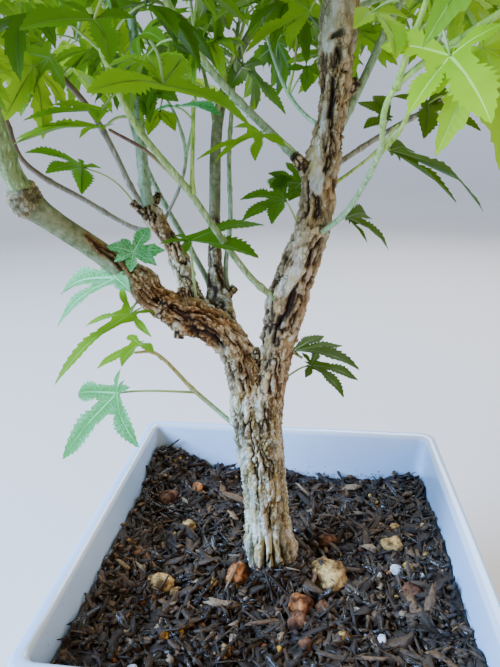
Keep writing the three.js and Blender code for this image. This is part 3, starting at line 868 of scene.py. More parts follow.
class Blade:
    """The template of a leaf's blade: its points, and its faces by count of corners.

    Each point is kept twice, as seen from the two lobes that share it, and the two are averaged:
    that closes the notches however the lobes bend."""

    def __init__(self, teeth):
        self.points = [((3, 0.0, 0.0),) * 2]
        self.blades, self.ribs = {}, {}
        notches = [self.notch(lobe) for lobe in range(-1, len(LOBE_LENGTHS))]
        for lobe in range(len(LOBE_LENGTHS)):
            self.add_lobe(lobe, 1 if lobe in SMALL_LOBES else teeth, notches[lobe], notches[lobe + 1])
        both = np.array(self.points)
        self.lobes = both[..., 0].astype(int)
        self.along, self.across = both[..., 1], both[..., 2]

    def add_point(self, first, second=None):
        self.points.append((first, second or first))
        return len(self.points) - 1

    def notch(self, lobe):
        """The point between a lobe and the next, or beside the stalk at either end."""
        last = len(LOBE_LENGTHS) - 1
        if lobe < 0:
            return self.add_point((0, 0.3, -0.13))
        if lobe == last:
            return self.add_point((last, 0.3, 0.13))
        half = (LOBE_ANGLES[lobe + 1] - LOBE_ANGLES[lobe]) / 2
        reach = NOTCH_REACH * (LOBE_LENGTHS[lobe] + LOBE_LENGTHS[lobe + 1]) / 2
        along, across = reach * np.cos(half), reach * np.sin(half)
        one, two = LOBE_LENGTHS[lobe], LOBE_LENGTHS[lobe + 1]
        return self.add_point((lobe, along / one, across / one), (lobe + 1, along / two, -across / two))

    def add_lobe(self, lobe, teeth, left_notch, right_notch):
        """Both halves of a lobe, a stretch for each tooth, and the rib between them."""
        tip = self.add_point((lobe, 1.0, 0.0))
        tooth_ends = (np.arange(teeth) + 0.8) / (teeth + 0.45)
        along = NOTCH_REACH + (1 - NOTCH_REACH) * tooth_ends
        rib_line = {}
        for hand, notch in ((-1, left_notch), (1, right_notch)):
            wide = rib_half_width(0.06) * hand
            inner = [self.add_point((lobe, 0.06, wide))]
            previous = notch
            for number, (place, share) in enumerate(zip(along, tooth_ends)):
                width = lobe_half_width(share)
                tooth = self.add_point((lobe, place + 0.014, hand * (width * 1.07 + 0.007)))
                cut = self.add_point((lobe, place + 0.024, hand * width * 0.84))
                rib = self.add_point((lobe, place, hand * rib_half_width(place)))
                start = [0] if number == 0 else []
                face = start + [previous, tooth, cut, rib, inner[-1]]
                add_face(self.blades, face if hand < 0 else face[::-1])
                inner.append(rib)
                previous = cut
            end = [previous, tip, inner[-1]]
            add_face(self.blades, end if hand < 0 else end[::-1])
            rib_line[hand] = inner
        add_face(self.ribs, [0] + rib_line[-1] + [tip] + rib_line[1][::-1])

    def groups(self, count, blade_kinds, rib_kinds):
        """Face groups for count copies, with the material number of each copy's blade and ribs."""
        made = []
        step = (np.arange(count) * len(self.points))[:, None, None]
        for faces, kinds in ((self.blades, blade_kinds), (self.ribs, rib_kinds)):
            for corners in faces.values():
                corners = np.array(corners)
                copies = (corners + step).reshape(-1, corners.shape[1])
                made.append((copies, np.repeat(kinds, len(corners))))
        return made


FINE_BLADE = Blade(teeth=9)
PLAIN_BLADE = Blade(teeth=4)


def frames(directions, normals):
    """Axes of leaves: across, towards the middle lobe's tip, and out of the upper face."""
    y = unit(directions)
    z = unit(normals - (normals * y).sum(-1, keepdims=True) * y)
    return np.stack([np.cross(y, z), y, z], axis=1)


def random_lobes(count, size, rng, droop=0.8):
    """Lengths in mm, directions and bends of the lobes of many leaves."""
    each = (count, len(LOBE_LENGTHS))
    lengths = np.asarray(size)[:, None] * LOBE_LENGTHS * rng.uniform(0.88, 1.1, each)
    return lengths, LOBE_ANGLES + rng.normal(0, 0.07, each), droop * rng.uniform(0.3, 1.7, each)


def leaf_points(blade, base, axes, lobes, rng, lean=0.0, fold=0.26, breadth=1.0):
    """Points of many leaves, each lobe bent along an arc of its own and as broad as the template says.

    A lobe of length L that turns down by b in all, and starts raised by a = lean b, has its point t at
    L/b (sin(b t - a) + sin a) outwards and L/b (cos(b t - a) - cos a) up.
    Its two halves fold up from the rib by the fold times the width."""
    lengths, turns, bends = lobes
    shape = lengths.shape
    bends = np.maximum(bends, 0.05)
    curls = rng.normal(0, 0.12, shape)
    folds = fold * rng.uniform(0.2, 1.8, shape)
    ripple = rng.uniform(0, FULL_TURN, shape)
    sides = []
    for view in (0, 1):
        lobe, t, s = blade.lobes[:, view], blade.along[:, view], blade.across[:, view] * breadth
        bend, length = bends[:, lobe], lengths[:, lobe]
        turn = turns[:, lobe] + curls[:, lobe] * t * (t - 1)
        slope = bend * t - lean * bend
        reach = length * (np.sin(slope) + np.sin(lean * bend)) / bend
        rise = length * (np.cos(slope) - np.cos(lean * bend)) / bend
        x = reach * np.sin(turn) + s * length * np.cos(turn)
        y = reach * np.cos(turn) - s * length * np.sin(turn)
        wave = 0.06 * s * np.sin(14 * t + ripple[:, lobe] + 2 * np.sign(s))
        sides.append(np.stack([x, y, rise + (folds[:, lobe] * np.abs(s) + wave) * length], -1))
    return base[:, None] + np.einsum("nvk,nkx->nvx", (sides[0] + sides[1]) / 2, axes)


def leaf_places(blade, size):
    """Each point's way along its lobe and out from the rib, in mm, as the leaves' UV map."""
    along = blade.along[:, 0] * LOBE_LENGTHS[blade.lobes[:, 0]]
    across = np.abs(blade.across[:, 0]) * LOBE_LENGTHS[blade.lobes[:, 0]]
    return (np.stack([along, across], -1)[None] * np.asarray(size)[:, None, None]).reshape(-1, 2)


def build_stalks(name, start, end, normals, thick, rows=6, columns=5):
    """Leaf stalks as one piece: thin tubes along an arc from start to end that sags towards the face.

    A stalk's centre is the straight line plus 0.14 * its length * sin(pi * share) along the normal."""
    share = np.linspace(0, 1, rows)[None, :, None]
    reach = np.linalg.norm(end - start, axis=1)[:, None, None]
    arch = 0.14 * reach * np.sin(np.pi * share) * normals[:, None]
    centre = start[:, None] * (1 - share) + end[:, None] * share + arch
    along = unit(np.gradient(centre, axis=1))
    axis = np.eye(3)[np.argmin(np.abs(along).max(axis=1), axis=1)][:, None]
    side = unit(axis - (along * axis).sum(-1, keepdims=True) * along)
    other = np.cross(along, side)
    angles = np.arange(columns) / columns * FULL_TURN
    out = np.cos(angles)[:, None] * side[:, :, None] + np.sin(angles)[:, None] * other[:, :, None]
    radius = (np.asarray(thick)[:, None] * np.linspace(0.6, 0.42, rows))[..., None, None]
    skin = (centre[:, :, None] + radius * out).reshape(len(start), -1, 3)
    points = np.concatenate([skin, centre[:, [0, -1]]], 1).reshape(-1, 3)
    groups = [(faces, 0) for faces in tube_faces(rows, columns, len(start))]
    belongs(mesh_piece(name + "_stalks", points, groups, [stalk_material()]), "green_stem")


def add_leaves(name, blade, points, kinds, size, materials, *nodes):
    """Leaves of one template as a piece, each with the blade and the veins of its kind."""
    groups = blade.groups(len(points), kinds, kinds + len(LEAF_KINDS))
    places = leaf_places(blade, size)
    piece = mesh_piece(name + "_leaves", points.reshape(-1, 3), groups, materials, None, places)
    belongs(piece, "maple_leaves", *nodes)


# Leaf colours: upper face, light that comes through, and main veins. The last three are only for leaves that
# are placed one by one: a paler frosted kind that is partly painted light, and a shade kind that is painted
# shade.
LEAF_COLOURS = {
    "deep": ("42650f", "66980f", "64883a"),
    "mid": ("68901a", "98c21a", "8aae44"),
    "fresh": ("90bc26", "c6de2c", "accb54"),
    "lime": ("98c41a", "c4e020", "bcd85c"),
    "frosted": ("3c9638", "44a048", "5cac60"),
    # Partly painted light: the frosted kind made paler for leaves in the crown's shadow
    "frosted pale with painted light": ("7ecc7c", "44a048", "94d294"),
    # Painted shade: the deep green darkened for leaves that hang under the crown
    "shade": ("3a5208", "64840a", "587838"),
}
LEAF_KINDS = list(LEAF_COLOURS)


def leaf_material(name, face, through, frosted):
    """A maple leaf's blade: soft satin, ribbed by fine side veins, and lit through from behind.

    A frosted one has the pale bloom of a new leaf, brushed off in flecks and left along its edges."""
    material, tree = new_material("Maple leaf blade, " + name)
    place = add_node(tree, "UVMap", uv_map="Surface")
    along, across = (add_node(tree, "SeparateXYZ", [place], axis) for axis in "XY")
    slant = add_node(tree, "Math", [along, across], operation="SUBTRACT")
    vein_spacing = 1.5 if frosted else 2.1
    turned = add_node(tree, "Math", [slant, FULL_TURN / vein_spacing], operation="MULTIPLY")
    waves = add_node(tree, "Math", [turned], operation="SINE")
    inputs = {
        "Base Color": face,
        "Roughness": 0.55,
        "Specular IOR Level": 0.12,
        "Normal": add_node(tree, "Bump", {"Height": waves, "Distance": 0.05 * MM, "Strength": 0.5}),
    }
    if frosted:
        flecks = add_node(tree, "TexNoise", [in_millimetres(tree, 0.9, 0.9, 0.9), 1, 5, 0.7])
        frost = add_node(tree, "Math", [across, 0.03, flecks], operation="MULTIPLY_ADD")
        bloom = add_node(tree, "ValToRGB", [frost], stops=[(0.4, "1e7c28"), (0.57, face), (0.8, "a2dcaa")])
        veins = add_node(tree, "MapRange", [waves, 0.3, 1.0, 0.0, 0.2], interpolation_type="SMOOTHSTEP")
        inputs["Base Color"] = add_node(tree, "Mix", [veins, bloom, "c6eec2"], data_type="RGBA")
        inputs["Roughness"] = 0.62
    front = add_node(tree, "BsdfPrincipled", inputs)
    back = add_node(tree, "BsdfTranslucent", {"Color": through})
    surface = add_node(tree, "MixShader", [0.4, front, back])
    add_node(tree, "OutputMaterial", [surface])
    return material


def vein_material(name, colour):
    """A leaf's main vein or stalk: smooth, plain and paler than the blade."""
    material, tree = new_material("Maple leaf vein, " + name)
    inputs = {"Base Color": colour, "Roughness": 0.45, "Specular IOR Level": 0.4}
    surface = add_node(tree, "BsdfPrincipled", inputs)
    add_node(tree, "OutputMaterial", [surface])
    return material


def stalk_material():
    """A leaf stalk: thin, smooth and yellow-green, made once."""
    return bpy.data.materials.get("Maple leaf vein, stalk") or vein_material("stalk", "a3b968")


def leaf_materials():
    """The blade material of each kind of leaf, then the vein material of each."""
    blades = [leaf_material(name, face, through, "frosted" in name)
              for name, (face, through, _) in LEAF_COLOURS.items()]
    veins = [vein_material(name, vein) for name, (_, _, vein) in LEAF_COLOURS.items()]
    return blades + veins


# Leaves that hang by themselves under the crown: the kind, the stalk's start, the blade's base, the way
# from there to the tip of the middle lobe, the way that the upper face looks, and the other lobes'
# direction from the middle one, in degrees, and length. Lobes that aren't given stay tiny. The last
# number, where there is one, is how broad the lobes are, where 1 is as in the template.
LOW_LEAVES = {
    "low_left": ("low_left_spray", [
        ("frosted", [-42.3, 4, 249.7], [-78.6, -8, 253.5], [-32.3, -1.8, -38.4], [-0.56, -0.66, 0.5],
         [(-153, 10.1), (-90, 35.3), (43, 34.8), (130, 12.5)]),
        ("mid", [-58, 1, 268], [-67.5, -2, 277], [-15.3, -17.4, -6.1], [-0.2, -0.17, 0.97],
         [(-86, 15), (-33, 20.1), (100, 15.6)]),
        ("mid", [-62.2, -12, 302], [-66.2, -14, 296], [-28.1, -25.6, -25.4], [-0.29, -0.5, 0.82],
         [(-121, 15.7), (-82, 22), (44, 24.5), (112, 23.3)], 0.65),
    ]),
    "hanging_left": ("hanging_left_spray", [
        ("frosted pale with painted light", [-64.6, -20, 316.6], [-67.7, -24, 314.9], [-25.7, -7.6, -20.6], [-0.49, -0.41, 0.77],
         [(-102, 19.8), (42, 40), (84, 22)]),
        ("frosted pale with painted light", [-57.5, -8, 318.5], [-59, -25, 326], [-11.1, -0.6, 2.4], [-0.4, -0.55, 0.73],
         [(-48, 9), (-100, 10), (-160, 12), (40, 9), (100, 14.8), (160, 13.5)]),
    ]),
    "middle": ("middle_spray", [
        ("deep", [-38.6, -2, 297.6], [-38.8, -8, 327.9], [32, 13.7, 5.1], [-0.04, -0.25, 0.97],
         [(-165, 14.1), (-124, 11.3), (55, 37), (112, 14)]),
    ]),
    "low_right": ("low_right_spray", [
        ("shade", [-0.9, 14, 269.1], [5.4, 20, 267.5], [33.5, -15.4, -3.1], [0.07, -0.06, 1],
         [(-80, 28.8), (-50, 29)]),
        ("shade", [3.2, 14, 256], [14.7, 20, 259.9], [25.6, 3.9, -9.4], [0.37, -0.21, 0.91],
         [(-120, 10.5), (-72, 14.9), (48, 25.4), (107, 12.6)]),
    ]),
    "hanging_right": ("hanging_right_spray", [
        ("shade", [36, -40, 366.4], [38.5, -42, 364.8], [36.4, 8.8, -21.9], [0.54, -0.2, 0.82],
         [(-61, 28), (30, 28.6)]),
        ("shade", [21.8, -8, 336.5], [27, -10, 338.6], [19.9, 8.9, -15.7], [0.66, -0.24, 0.71],
         [(-48, 26), (38, 14)]),
    ]),
    "inner": (None, [
        ("deep", [6.8, -2, 335.1], [1.6, -10, 345.8], [-19.8, 4.6, -1.1], [-0.14, -0.4, 0.91],
         [(-89, 19.1), (-50, 21.7), (65, 22.4), (125, 8.8)]),
        ("deep", [8, 2, 340], [7.5, 6, 351], [-14, -3.5, 4.5], [0.1, -0.55, 0.83],
         [(-70, 15), (-34, 17), (60, 14), (118, 12)]),
        ("deep", [1.9, 14, 386.5], [9.6, 14, 397], [-0.8, -9, -10.4], [0.13, -0.75, 0.64],
         [(-113, 7), (-60, 8), (76, 9)]),
        ("mid", [-41.6, -42, 400.1], [-37.5, -44, 386.4], [29.6, 15.2, -15.1], [0.56, -0.32, 0.77],
         [(-149, 14.1), (-77, 32.8), (128, 37.6)]),
        ("mid", [9.1, 0, 360.8], [-7.5, -10, 371], [-25.5, -9.4, -9.7], [-0.21, -0.37, 0.91],
         [(-95, 22), (-64, 25.2), (-22, 25.9), (71, 20.7)], 0.8),
        ("frosted pale with painted light", [-33, -20, 376.2], [-39.7, -20, 380.9], [20, -12.7, -4.3], [0, -0.3, 0.95],
         [(111, 8.7), (155, 6)]),
        ("deep", [-26.6, 48, 418.6], [-23.2, 58, 403.3], [22.1, -9, -22.8], [0.54, -0.45, 0.71],
         [(-95, 19.4), (64, 30), (136, 23.9)]),
        ("mid", [20.3, -10, 420], [10.4, -24, 410.1], [-22.2, -5.3, -13.2], [-0.32, -0.56, 0.77],
         [(-87, 8), (-42, 20), (87, 26)]),
        ("lime", [42, -80, 399.8], [45.7, -86, 387.4], [-10.2, -7.2, -13.5], [-0.38, -0.66, 0.64],
         [(-148, 13.5), (-52, 26), (89, 21)]),
        ("fresh", [34.7, -70, 403], [27.9, -66, 401.2], [5, -18.7, -14.7], [0.41, -0.49, 0.77],
         [(-106, 14.5), (34, 17)]),
        ("shade", [69.3, 26, 386.1], [61.7, 24, 382.9], [21.2, -9.9, -11.6], [0.2, -0.54, 0.82],
         [(-93, 19.7), (66, 28.4), (150, 16)]),
        ("shade", [41.9, 14, 370.4], [44.1, 12, 377], [-13.3, 7.7, 6.9], [0.1, -0.56, 0.82],
         [(-77, 14.6), (34, 18)]),
        ("deep", [-46, -62, 410], [-43.5, -86, 397.8], [7.8, -13, -12.5], [0.41, -0.49, 0.77],
         [(-107, 13), (62, 21.8), (127, 9.3)]),
        ("mid", [-62, -6, 389], [-72.3, -10, 380.4], [-26.9, -14.5, -3.9], [0, -0.26, 0.97],
         [(-76, 22.2), (44, 32), (119, 13)]),
        ("mid", [-60, -12, 378], [-69.7, -16, 374], [-41.4, 5.7, -4.2], [-0.13, -0.22, 0.97],
         [(-81, 17), (-24, 38.4)]),
        ("deep", [-70, 20, 338], [-94.7, 16, 357.6], [-19.2, -16.4, 7.2], [0.47, -0.17, 0.87],
         [(-78, 29.2), (-40, 25.2), (98, 9.8), (155, 12.5)]),
        ("mid", [-91.9, 4, 395.9], [-94.4, -4, 401], [-12.6, -6.7, -22.7], [-0.31, -0.85, 0.42],
         [(-63, 18.1), (38, 23.8), (76, 27.4), (150, 10.5)]),
        ("mid", [-96.2, 14, 397], [-104.7, 14, 409], [-28.2, 16.2, -0.2], [-0.43, -0.75, 0.5],
         [(-110, 16.8), (-36, 21.5), (38, 23.6)]),
        ("mid", [-35.8, 50, 426], [-31.9, 50, 425.1], [18.4, -13.7, -6.4], [0, -0.42, 0.91],
         [(-93, 19.8), (36, 27.8), (74, 25.5)]),
        ("deep", [-64, 27, 396], [-62.3, 26, 390.1], [5.8, -23.1, -14.4], [-0.32, -0.56, 0.77],
         [(-34, 25.3), (90, 17.1)]),
        ("mid", [-56.1, 34, 392], [-60.4, 34, 382], [11.2, -16.1, -9.3], [0, -0.5, 0.87],
         [(34, 21.9), (123, 9.9)]),
    ]),
}
# The length of a lobe that isn't given as a share of the middle one's, and its turn from the last
TINY_LOBE = 0.16
LOBE_GAP = 34
MIDDLE_LOBE = 3
LOW_LEAF_SEED = 40
# How broad the lobes of a leaf are, where 1 is as in the template: middle lobes' lengths in mm, and
# the breadth of each
LENGTHS_IN_USE = (11, 24, 45)
BREADTHS = (2.0, 1.4, 1.25)


def given_lobes(middle, others):
    """Lengths and directions of seven lobes, from the middle one's length and the others as given."""
    lengths = np.full(len(LOBE_LENGTHS), TINY_LOBE * middle)
    turns = np.zeros(len(LOBE_LENGTHS))
    lengths[MIDDLE_LOBE] = middle
    for hand in (-1, 1):
        side = sorted((abs(angle), length) for angle, length in others if angle * hand > 0)
        before = 0
        for place in range(3):
            lobe = MIDDLE_LOBE + hand * (place + 1)
            before, length = side[place] if place < len(side) else (min(before + LOBE_GAP, 168), None)
            turns[lobe] = hand * np.radians(before)
            lengths[lobe] = length or lengths[lobe]
    return lengths, turns


def build_low_leaves(materials):
    """The leaves that hang alone, each on its own stalk, as a piece for each spray."""
    for seed, (name, (node, rows)) in enumerate(LOW_LEAVES.items()):
        rng = np.random.default_rng(LOW_LEAF_SEED + seed)
        start, base, middle, normal = (np.array([row[k] for row in rows], float) for k in (1, 2, 3, 4))
        kinds = np.array([LEAF_KINDS.index(row[0]) for row in rows])
        size = np.linalg.norm(middle, axis=1)
        lobes = [given_lobes(reach, row[5]) for reach, row in zip(size, rows)]
        lengths, turns = (np.array(part) for part in zip(*lobes))
        bends = rng.uniform(0.3, 0.9, lengths.shape)
        usual = np.interp(size, LENGTHS_IN_USE, BREADTHS)
        broad = np.array([row[6] if len(row) > 6 else own for row, own in zip(rows, usual)])
        lobes = (lengths, turns, bends)
        points = leaf_points(FINE_BLADE, base, frames(middle, normal), lobes, rng, 0.5, 0.22, broad[:, None])
        add_leaves(name, FINE_BLADE, points, kinds, size, materials, *([node] if node else []))
        build_stalks(name, start, base, unit(normal), np.clip(size / 30, 0.8, 1.1), 9, 7)


# Crown: which limb carries each mass of foliage
CARRIERS = {
    "left_front_mass": "left_shoot", "far_left_mass": "brown_shoot", "centre_left_mass": "centre_shoot",
    "back_mass": "back_bough", "back_right_mass": "back_right_side", "far_right_mass": "grey_twig",
    "right_front_mass": "right_shoot", "inner_left_mass": "upper_left_shoot",
    "inner_front_mass": "inner_left_shoot", "front_mass": "front_side", "right_mass": "upper_right_shoot",
    "back_left_mass": "back_left_side", "upper_back_mass": "upper_back_side",
    "upper_right_mass": "upper_right_side", "upper_left_mass": "upper_left_side",
    "upper_front_mass": "upper_front_side", "top_mass": "right_bough",
}
# The least gap between nodes in mm, how much of a mass they fill, how much a point's way back to the
# limb costs, and the gap in mm between the places on the limb where twigs may start
NODE_GAP = 25.0
FILL = 0.82
WAY_BACK = 0.35
ROOT_GAP = 9.0
SEED_OF_MASSES = 200
SHOOT_LEAF_SEED = 90
# Points round a twig, and the gap between its rings in mm
TWIG_COLUMNS = 6
TWIG_STEP = 3.0
TWIG_SKINS = (("sage", "fresh"), ("grey_green", "fresh"), ("grey_green", "sage"), ("sage", "straw"))
# The spans of the middle lobe's length and of the stalk's, and the stalk's width, in mm
LEAF_SIZE = (23.0, 34.0)
STALK_LENGTH = (13.0, 25.0)
STALK_WIDTH = 0.85
# How often a spray has each kind of leaf
SPRAY_CHANCES = (0.26, 0.40, 0.27, 0.07, 0.0, 0.0, 0.0)
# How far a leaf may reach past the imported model's box, in mm
OVERHANG = 13.0
# The space in front of the leader's top, where the photo shows no leaf: its lowest and highest corner
BARE_SPACE = ((8, -100, 384), (32, -72, 400))
# The height in mm from which the shoots bear leaves
SHOOT_LEAF_LEVEL = 388.0


def spread_targets(centre, half, rng):
    """Random points inside a mass, no two nearer than the gap between nodes."""
    tries = rng.uniform(-1, 1, (500, 3))
    tries = centre + tries[(tries**2).sum(1) < 1] * half * FILL
    kept = tries[:1]
    for point in tries[1:]:
        if np.linalg.norm(kept - point, axis=1).min() > NODE_GAP:
            kept = np.vstack([kept, point])
    return kept


def grow_tree(roots, targets):
    """Joins each target, nearest first, to the point of the tree that is near and not far out.

    The cost of a point is its distance plus a share of its own way back to the limb.
    Gives all points and each one's parent, which is -1 for a root."""
    points = roots.copy()
    way = np.zeros(len(roots))
    parents = [-1] * len(roots)
    distances = np.linalg.norm(targets[:, None] - roots[None], axis=2).min(1)
    for target in targets[np.argsort(distances)]:
        gaps = np.linalg.norm(points - target, axis=1)
        parent = int(np.argmin(gaps + WAY_BACK * way))
        points = np.vstack([points, target])
        way = np.append(way, way[parent] + gaps[parent])
        parents.append(parent)
    return points, np.array(parents)


def twig_chains(parents, root_count):
    """The tree as chains of points: at each fork the child that bears most carries the chain on."""
    bears = np.ones(len(parents), int)
    for child in range(len(parents) - 1, root_count - 1, -1):
        bears[parents[child]] += bears[child]
    heirs = {}
    for child in range(root_count, len(parents)):
        parent = parents[child]
        if parent >= root_count and (parent not in heirs or bears[child] > bears[heirs[parent]]):
            heirs[parent] = child
    chains = []
    for child in range(root_count, len(parents)):
        if heirs.get(parents[child]) == child:
            continue
        chain = [parents[child], child]
        while chain[-1] in heirs:
            chain.append(heirs[chain[-1]])
        chains.append(chain)
    return chains, bears


def grow_mass(mass, carrier, rng):
    """Twigs, stalks and leaves of one mass, grown on from the limb that carries it."""
    low, high = (np.array(corner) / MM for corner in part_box(mass))
    centre, half = (low + high) / 2, (high - low) / 2
    inside = (((carrier.centre - centre) / (half * 1.15)) ** 2).sum(1) < 1
    roots = carrier.centre[inside][:: max(int(ROOT_GAP / carrier.run[1]), 1)]
    roots = np.vstack([roots, carrier.centre[-1]])
    points, parents = grow_tree(roots, spread_targets(centre, half, rng))
    grown = np.where(np.arange(len(points)) < len(roots), 0, 1)[:, None]
    points = points + grown * rng.normal(0, 1.5, points.shape)
    chains, bears = twig_chains(parents, len(roots))
    twigs, nodes = [], []
    for chain in chains:
        reach = 1.1 + 0.42 * np.sqrt(bears[chain])
        reach[0] = reach[1]
        stations = np.column_stack([points[chain], reach])
        path = Path(stations, TWIG_STEP)
        twigs.append(path)
        kind = rng.choice(len(LEAF_KINDS), p=SPRAY_CHANCES)
        turn = rng.uniform(0, np.pi)
        for number, at in enumerate(chain[1:]):
            spot = int(np.argmin(np.linalg.norm(path.centre - points[at], axis=1)))
            nodes.append((points[at], path.along[spot], turn + number * np.pi / 2, kind, at == chain[-1]))
    return twigs, nodes


def spray_leaves(nodes, rng):
    """A pair of leaves at each node, across the twig and turned a quarter from node to node.

    The stalks lean out and up, and the blades hang level or a little down, faces up."""
    rows = []
    for place, along, turn, kind, last in nodes:
        flat = unit(np.cross(along, UP) + 1e-3)
        tall = np.cross(flat, along)
        pair = np.cos(turn) * flat + np.sin(turn) * tall * 0.7
        for hand in (-1, 1):
            out = unit(hand * pair + (0.35 + 0.3 * last) * along + rng.normal(0, 0.18, 3) + 0.1 * UP)
            rows.append((place, out, kind))
        if last:
            rows.append((place, unit(along + rng.normal(0, 0.15, 3)), kind))
    place, out, kind = (np.array([row[k] for row in rows]) for k in range(3))
    count = len(rows)
    stalk = rng.uniform(*STALK_LENGTH, count)[:, None]
    base = place + out * stalk
    level = unit(out * (1, 1, 0.25) + rng.normal(0, 0.15, (count, 3)))
    direction = unit(level - UP * rng.uniform(0.05, 0.75, count)[:, None])
    normal = unit(UP + 0.35 * rng.normal(0, 1, (count, 3)) + 0.25 * level)
    size = rng.uniform(*LEAF_SIZE, count)
    return place, base, direction, normal, size, kind.astype(int)


def build_crown(paths, materials):
    """Every mass of foliage as three pieces: its twigs, its leaves' stalks and its leaves."""
    for seed, (mass, limb) in enumerate(CARRIERS.items()):
        rng = np.random.default_rng(SEED_OF_MASSES + seed)
        twigs, nodes = grow_mass(mass, paths[limb], rng)
        name = mass.replace("_mass", "")
        build_leaves(name, nodes, paths, materials, rng, mass)
        tubes = []
        for path in twigs:
            points, age = smooth_tube(path, TWIG_COLUMNS, path.centre, path.radius, path.centre[-1])
            skin = shoot_skin(*TWIG_SKINS[rng.integers(len(TWIG_SKINS))])
            tubes.append((points, tube_faces(path.rows, TWIG_COLUMNS), age, skin))
        join_tubes(name + "_twigs", tubes, "green_stem")


def build_shoot_leaves(paths, materials):
    """Pairs of leaves at the upper nodes of the green shoots."""
    rng = np.random.default_rng(SHOOT_LEAF_SEED)
    seeds = {name: seed for seed, name in enumerate(SHOOTS)}
    seeds.update({f"thin_{k}": THIN_SEED + k for k in range(len(THIN_SHOOTS))})
    nodes = []
    for name, seed in seeds.items():
        path = paths[name]
        kind = rng.choice(len(LEAF_KINDS), p=SPRAY_CHANCES)
        turn = rng.uniform(0, np.pi)
        for number, run in enumerate(shoot_nodes(path.length, seed)):
            spot = int(np.argmin(np.abs(path.run - run)))
            if path.centre[spot, 2] > SHOOT_LEAF_LEVEL:
                nodes.append((path.centre[spot], path.along[spot], turn + number * np.pi / 2, kind, False))
        if path.centre[-1, 2] > SHOOT_LEAF_LEVEL:
            nodes.append((path.centre[-1], path.along[-1], turn, kind, True))
    build_leaves("shoots", nodes, paths, materials, rng)


def build_leaves(name, nodes, paths, materials, rng, *replaced):
    """The leaves of some nodes and their stalks, less those that leave the plant's box, pierce bark
    or hang in the space that is bare."""
    lowest, highest = (np.array(corner) / MM + hand * OVERHANG for corner, hand in zip(CAD_BOX, (-1, 1)))
    place, base, direction, normal, size, kind = spray_leaves(nodes, rng)
    axes = frames(direction, normal)
    lobes = random_lobes(len(size), size, rng)
    points = leaf_points(PLAIN_BLADE, base, axes, lobes, rng, breadth=rng.uniform(1.0, 1.35, (len(size), 1)))
    inside = ((points > lowest) & (points < highest)).all(axis=(1, 2))
    inside &= ~((points > BARE_SPACE[0]) & (points < BARE_SPACE[1])).all(axis=2).any(axis=1)
    for limb in BARK_STATIONS:
        inside &= (nearest(points[:, ::3], paths[limb]) > 1.0).all(axis=1)
    place, base, size, kind, points, normal = (
        part[inside] for part in (place, base, size, kind, points, axes[:, 2]))
    add_leaves(name, PLAIN_BLADE, points, kind, size, materials, *replaced)
    build_stalks(name, place, base, normal, np.full(len(base), STALK_WIDTH))


# Soil. All sizes are in mm: the pot's own, then the soil's, with its clearance from the wall.

POT_WIDTH = 200.0
POT_HEIGHT = 180.0
POT_TAPER = np.radians(4)
POT_WALL = 7.3
POT_FLOOR = 9.0
OUTER_CORNER = 8.0
INNER_CORNER = 4.0
RIM_ROUND = 2.8
SOIL_LEVEL = 150.0
DRAIN_RADIUS = 6.0
DRAIN_OFFSET = 42.0
CLEARANCE = 0.3
SOIL_REACH = 88.0
TRUNK_FOOT = (-3, -1)
SOIL_COLUMNS, SOIL_ROWS, SIDE_ROWS = 360, 130, 6


def pot_half_width(z):
    """Half the pot's outer width at a height."""
    return POT_WIDTH / 2 - (POT_HEIGHT - z) * np.tan(POT_TAPER)


def soil_height(x, y):
    """Height of the soil: sunk at the back, heaped at the front, at the sides and round the trunk's foot.

    The heaps are powers of the way out from the middle, and two bells stand in a corner and at the foot."""
    side = np.clip(np.abs(x) / SOIL_REACH, 0, 1.02) ** 4
    front = np.clip(-y / SOIL_REACH, 0, 1.02) ** 3
    back = np.clip(y / SOIL_REACH, 0, 1.02) ** 2
    heap = 9 * side * (1 - 0.6 * back) + 7 * front - 2.5 * back
    corner = 15 * np.exp(-((x + SOIL_REACH) ** 2 + (y - SOIL_REACH) ** 2) / 30**2)
    foot = 7 * np.exp(-((np.hypot(x - TRUNK_FOOT[0], y - TRUNK_FOOT[1]) - 11) / 8) ** 2)
    spots = np.stack([x, y, np.zeros_like(x)], -1)
    lumpy = 2.8 * layered(spots / 15, 5, 3) + 1.1 * field(spots / 3.4, 9)
    return SOIL_LEVEL - 1 + heap + corner + foot + lumpy


def square_ring(half, corner, count, z):
    """A square with rounded corners, at even steps round it: points where a ray from the centre,
    at an even share of the way round, meets it. half, corner and z may be arrays along the profile."""
    half, corner, z = (np.asarray(value, float)[..., None] for value in (half, corner, z))
    share = np.arange(count) / count * 4
    side, place = np.floor(share).astype(int) % 4, share % 1 * 2 - 1
    straight = half - corner
    arc = corner * np.pi / 4
    total = straight + arc
    way = np.abs(place) * total
    past = np.clip(way - straight, 0, None) / np.maximum(corner, 1e-6)
    across = np.where(way < straight, way, straight + corner * np.sin(past)) * np.sign(place)
    out = np.where(way < straight, half + 0 * way, straight + corner * np.cos(past))
    turn = side * np.pi / 2
    x = out * np.cos(turn) - across * np.sin(turn)
    y = out * np.sin(turn) + across * np.cos(turn)
    return np.stack([x, y, z + 0 * x], -1)


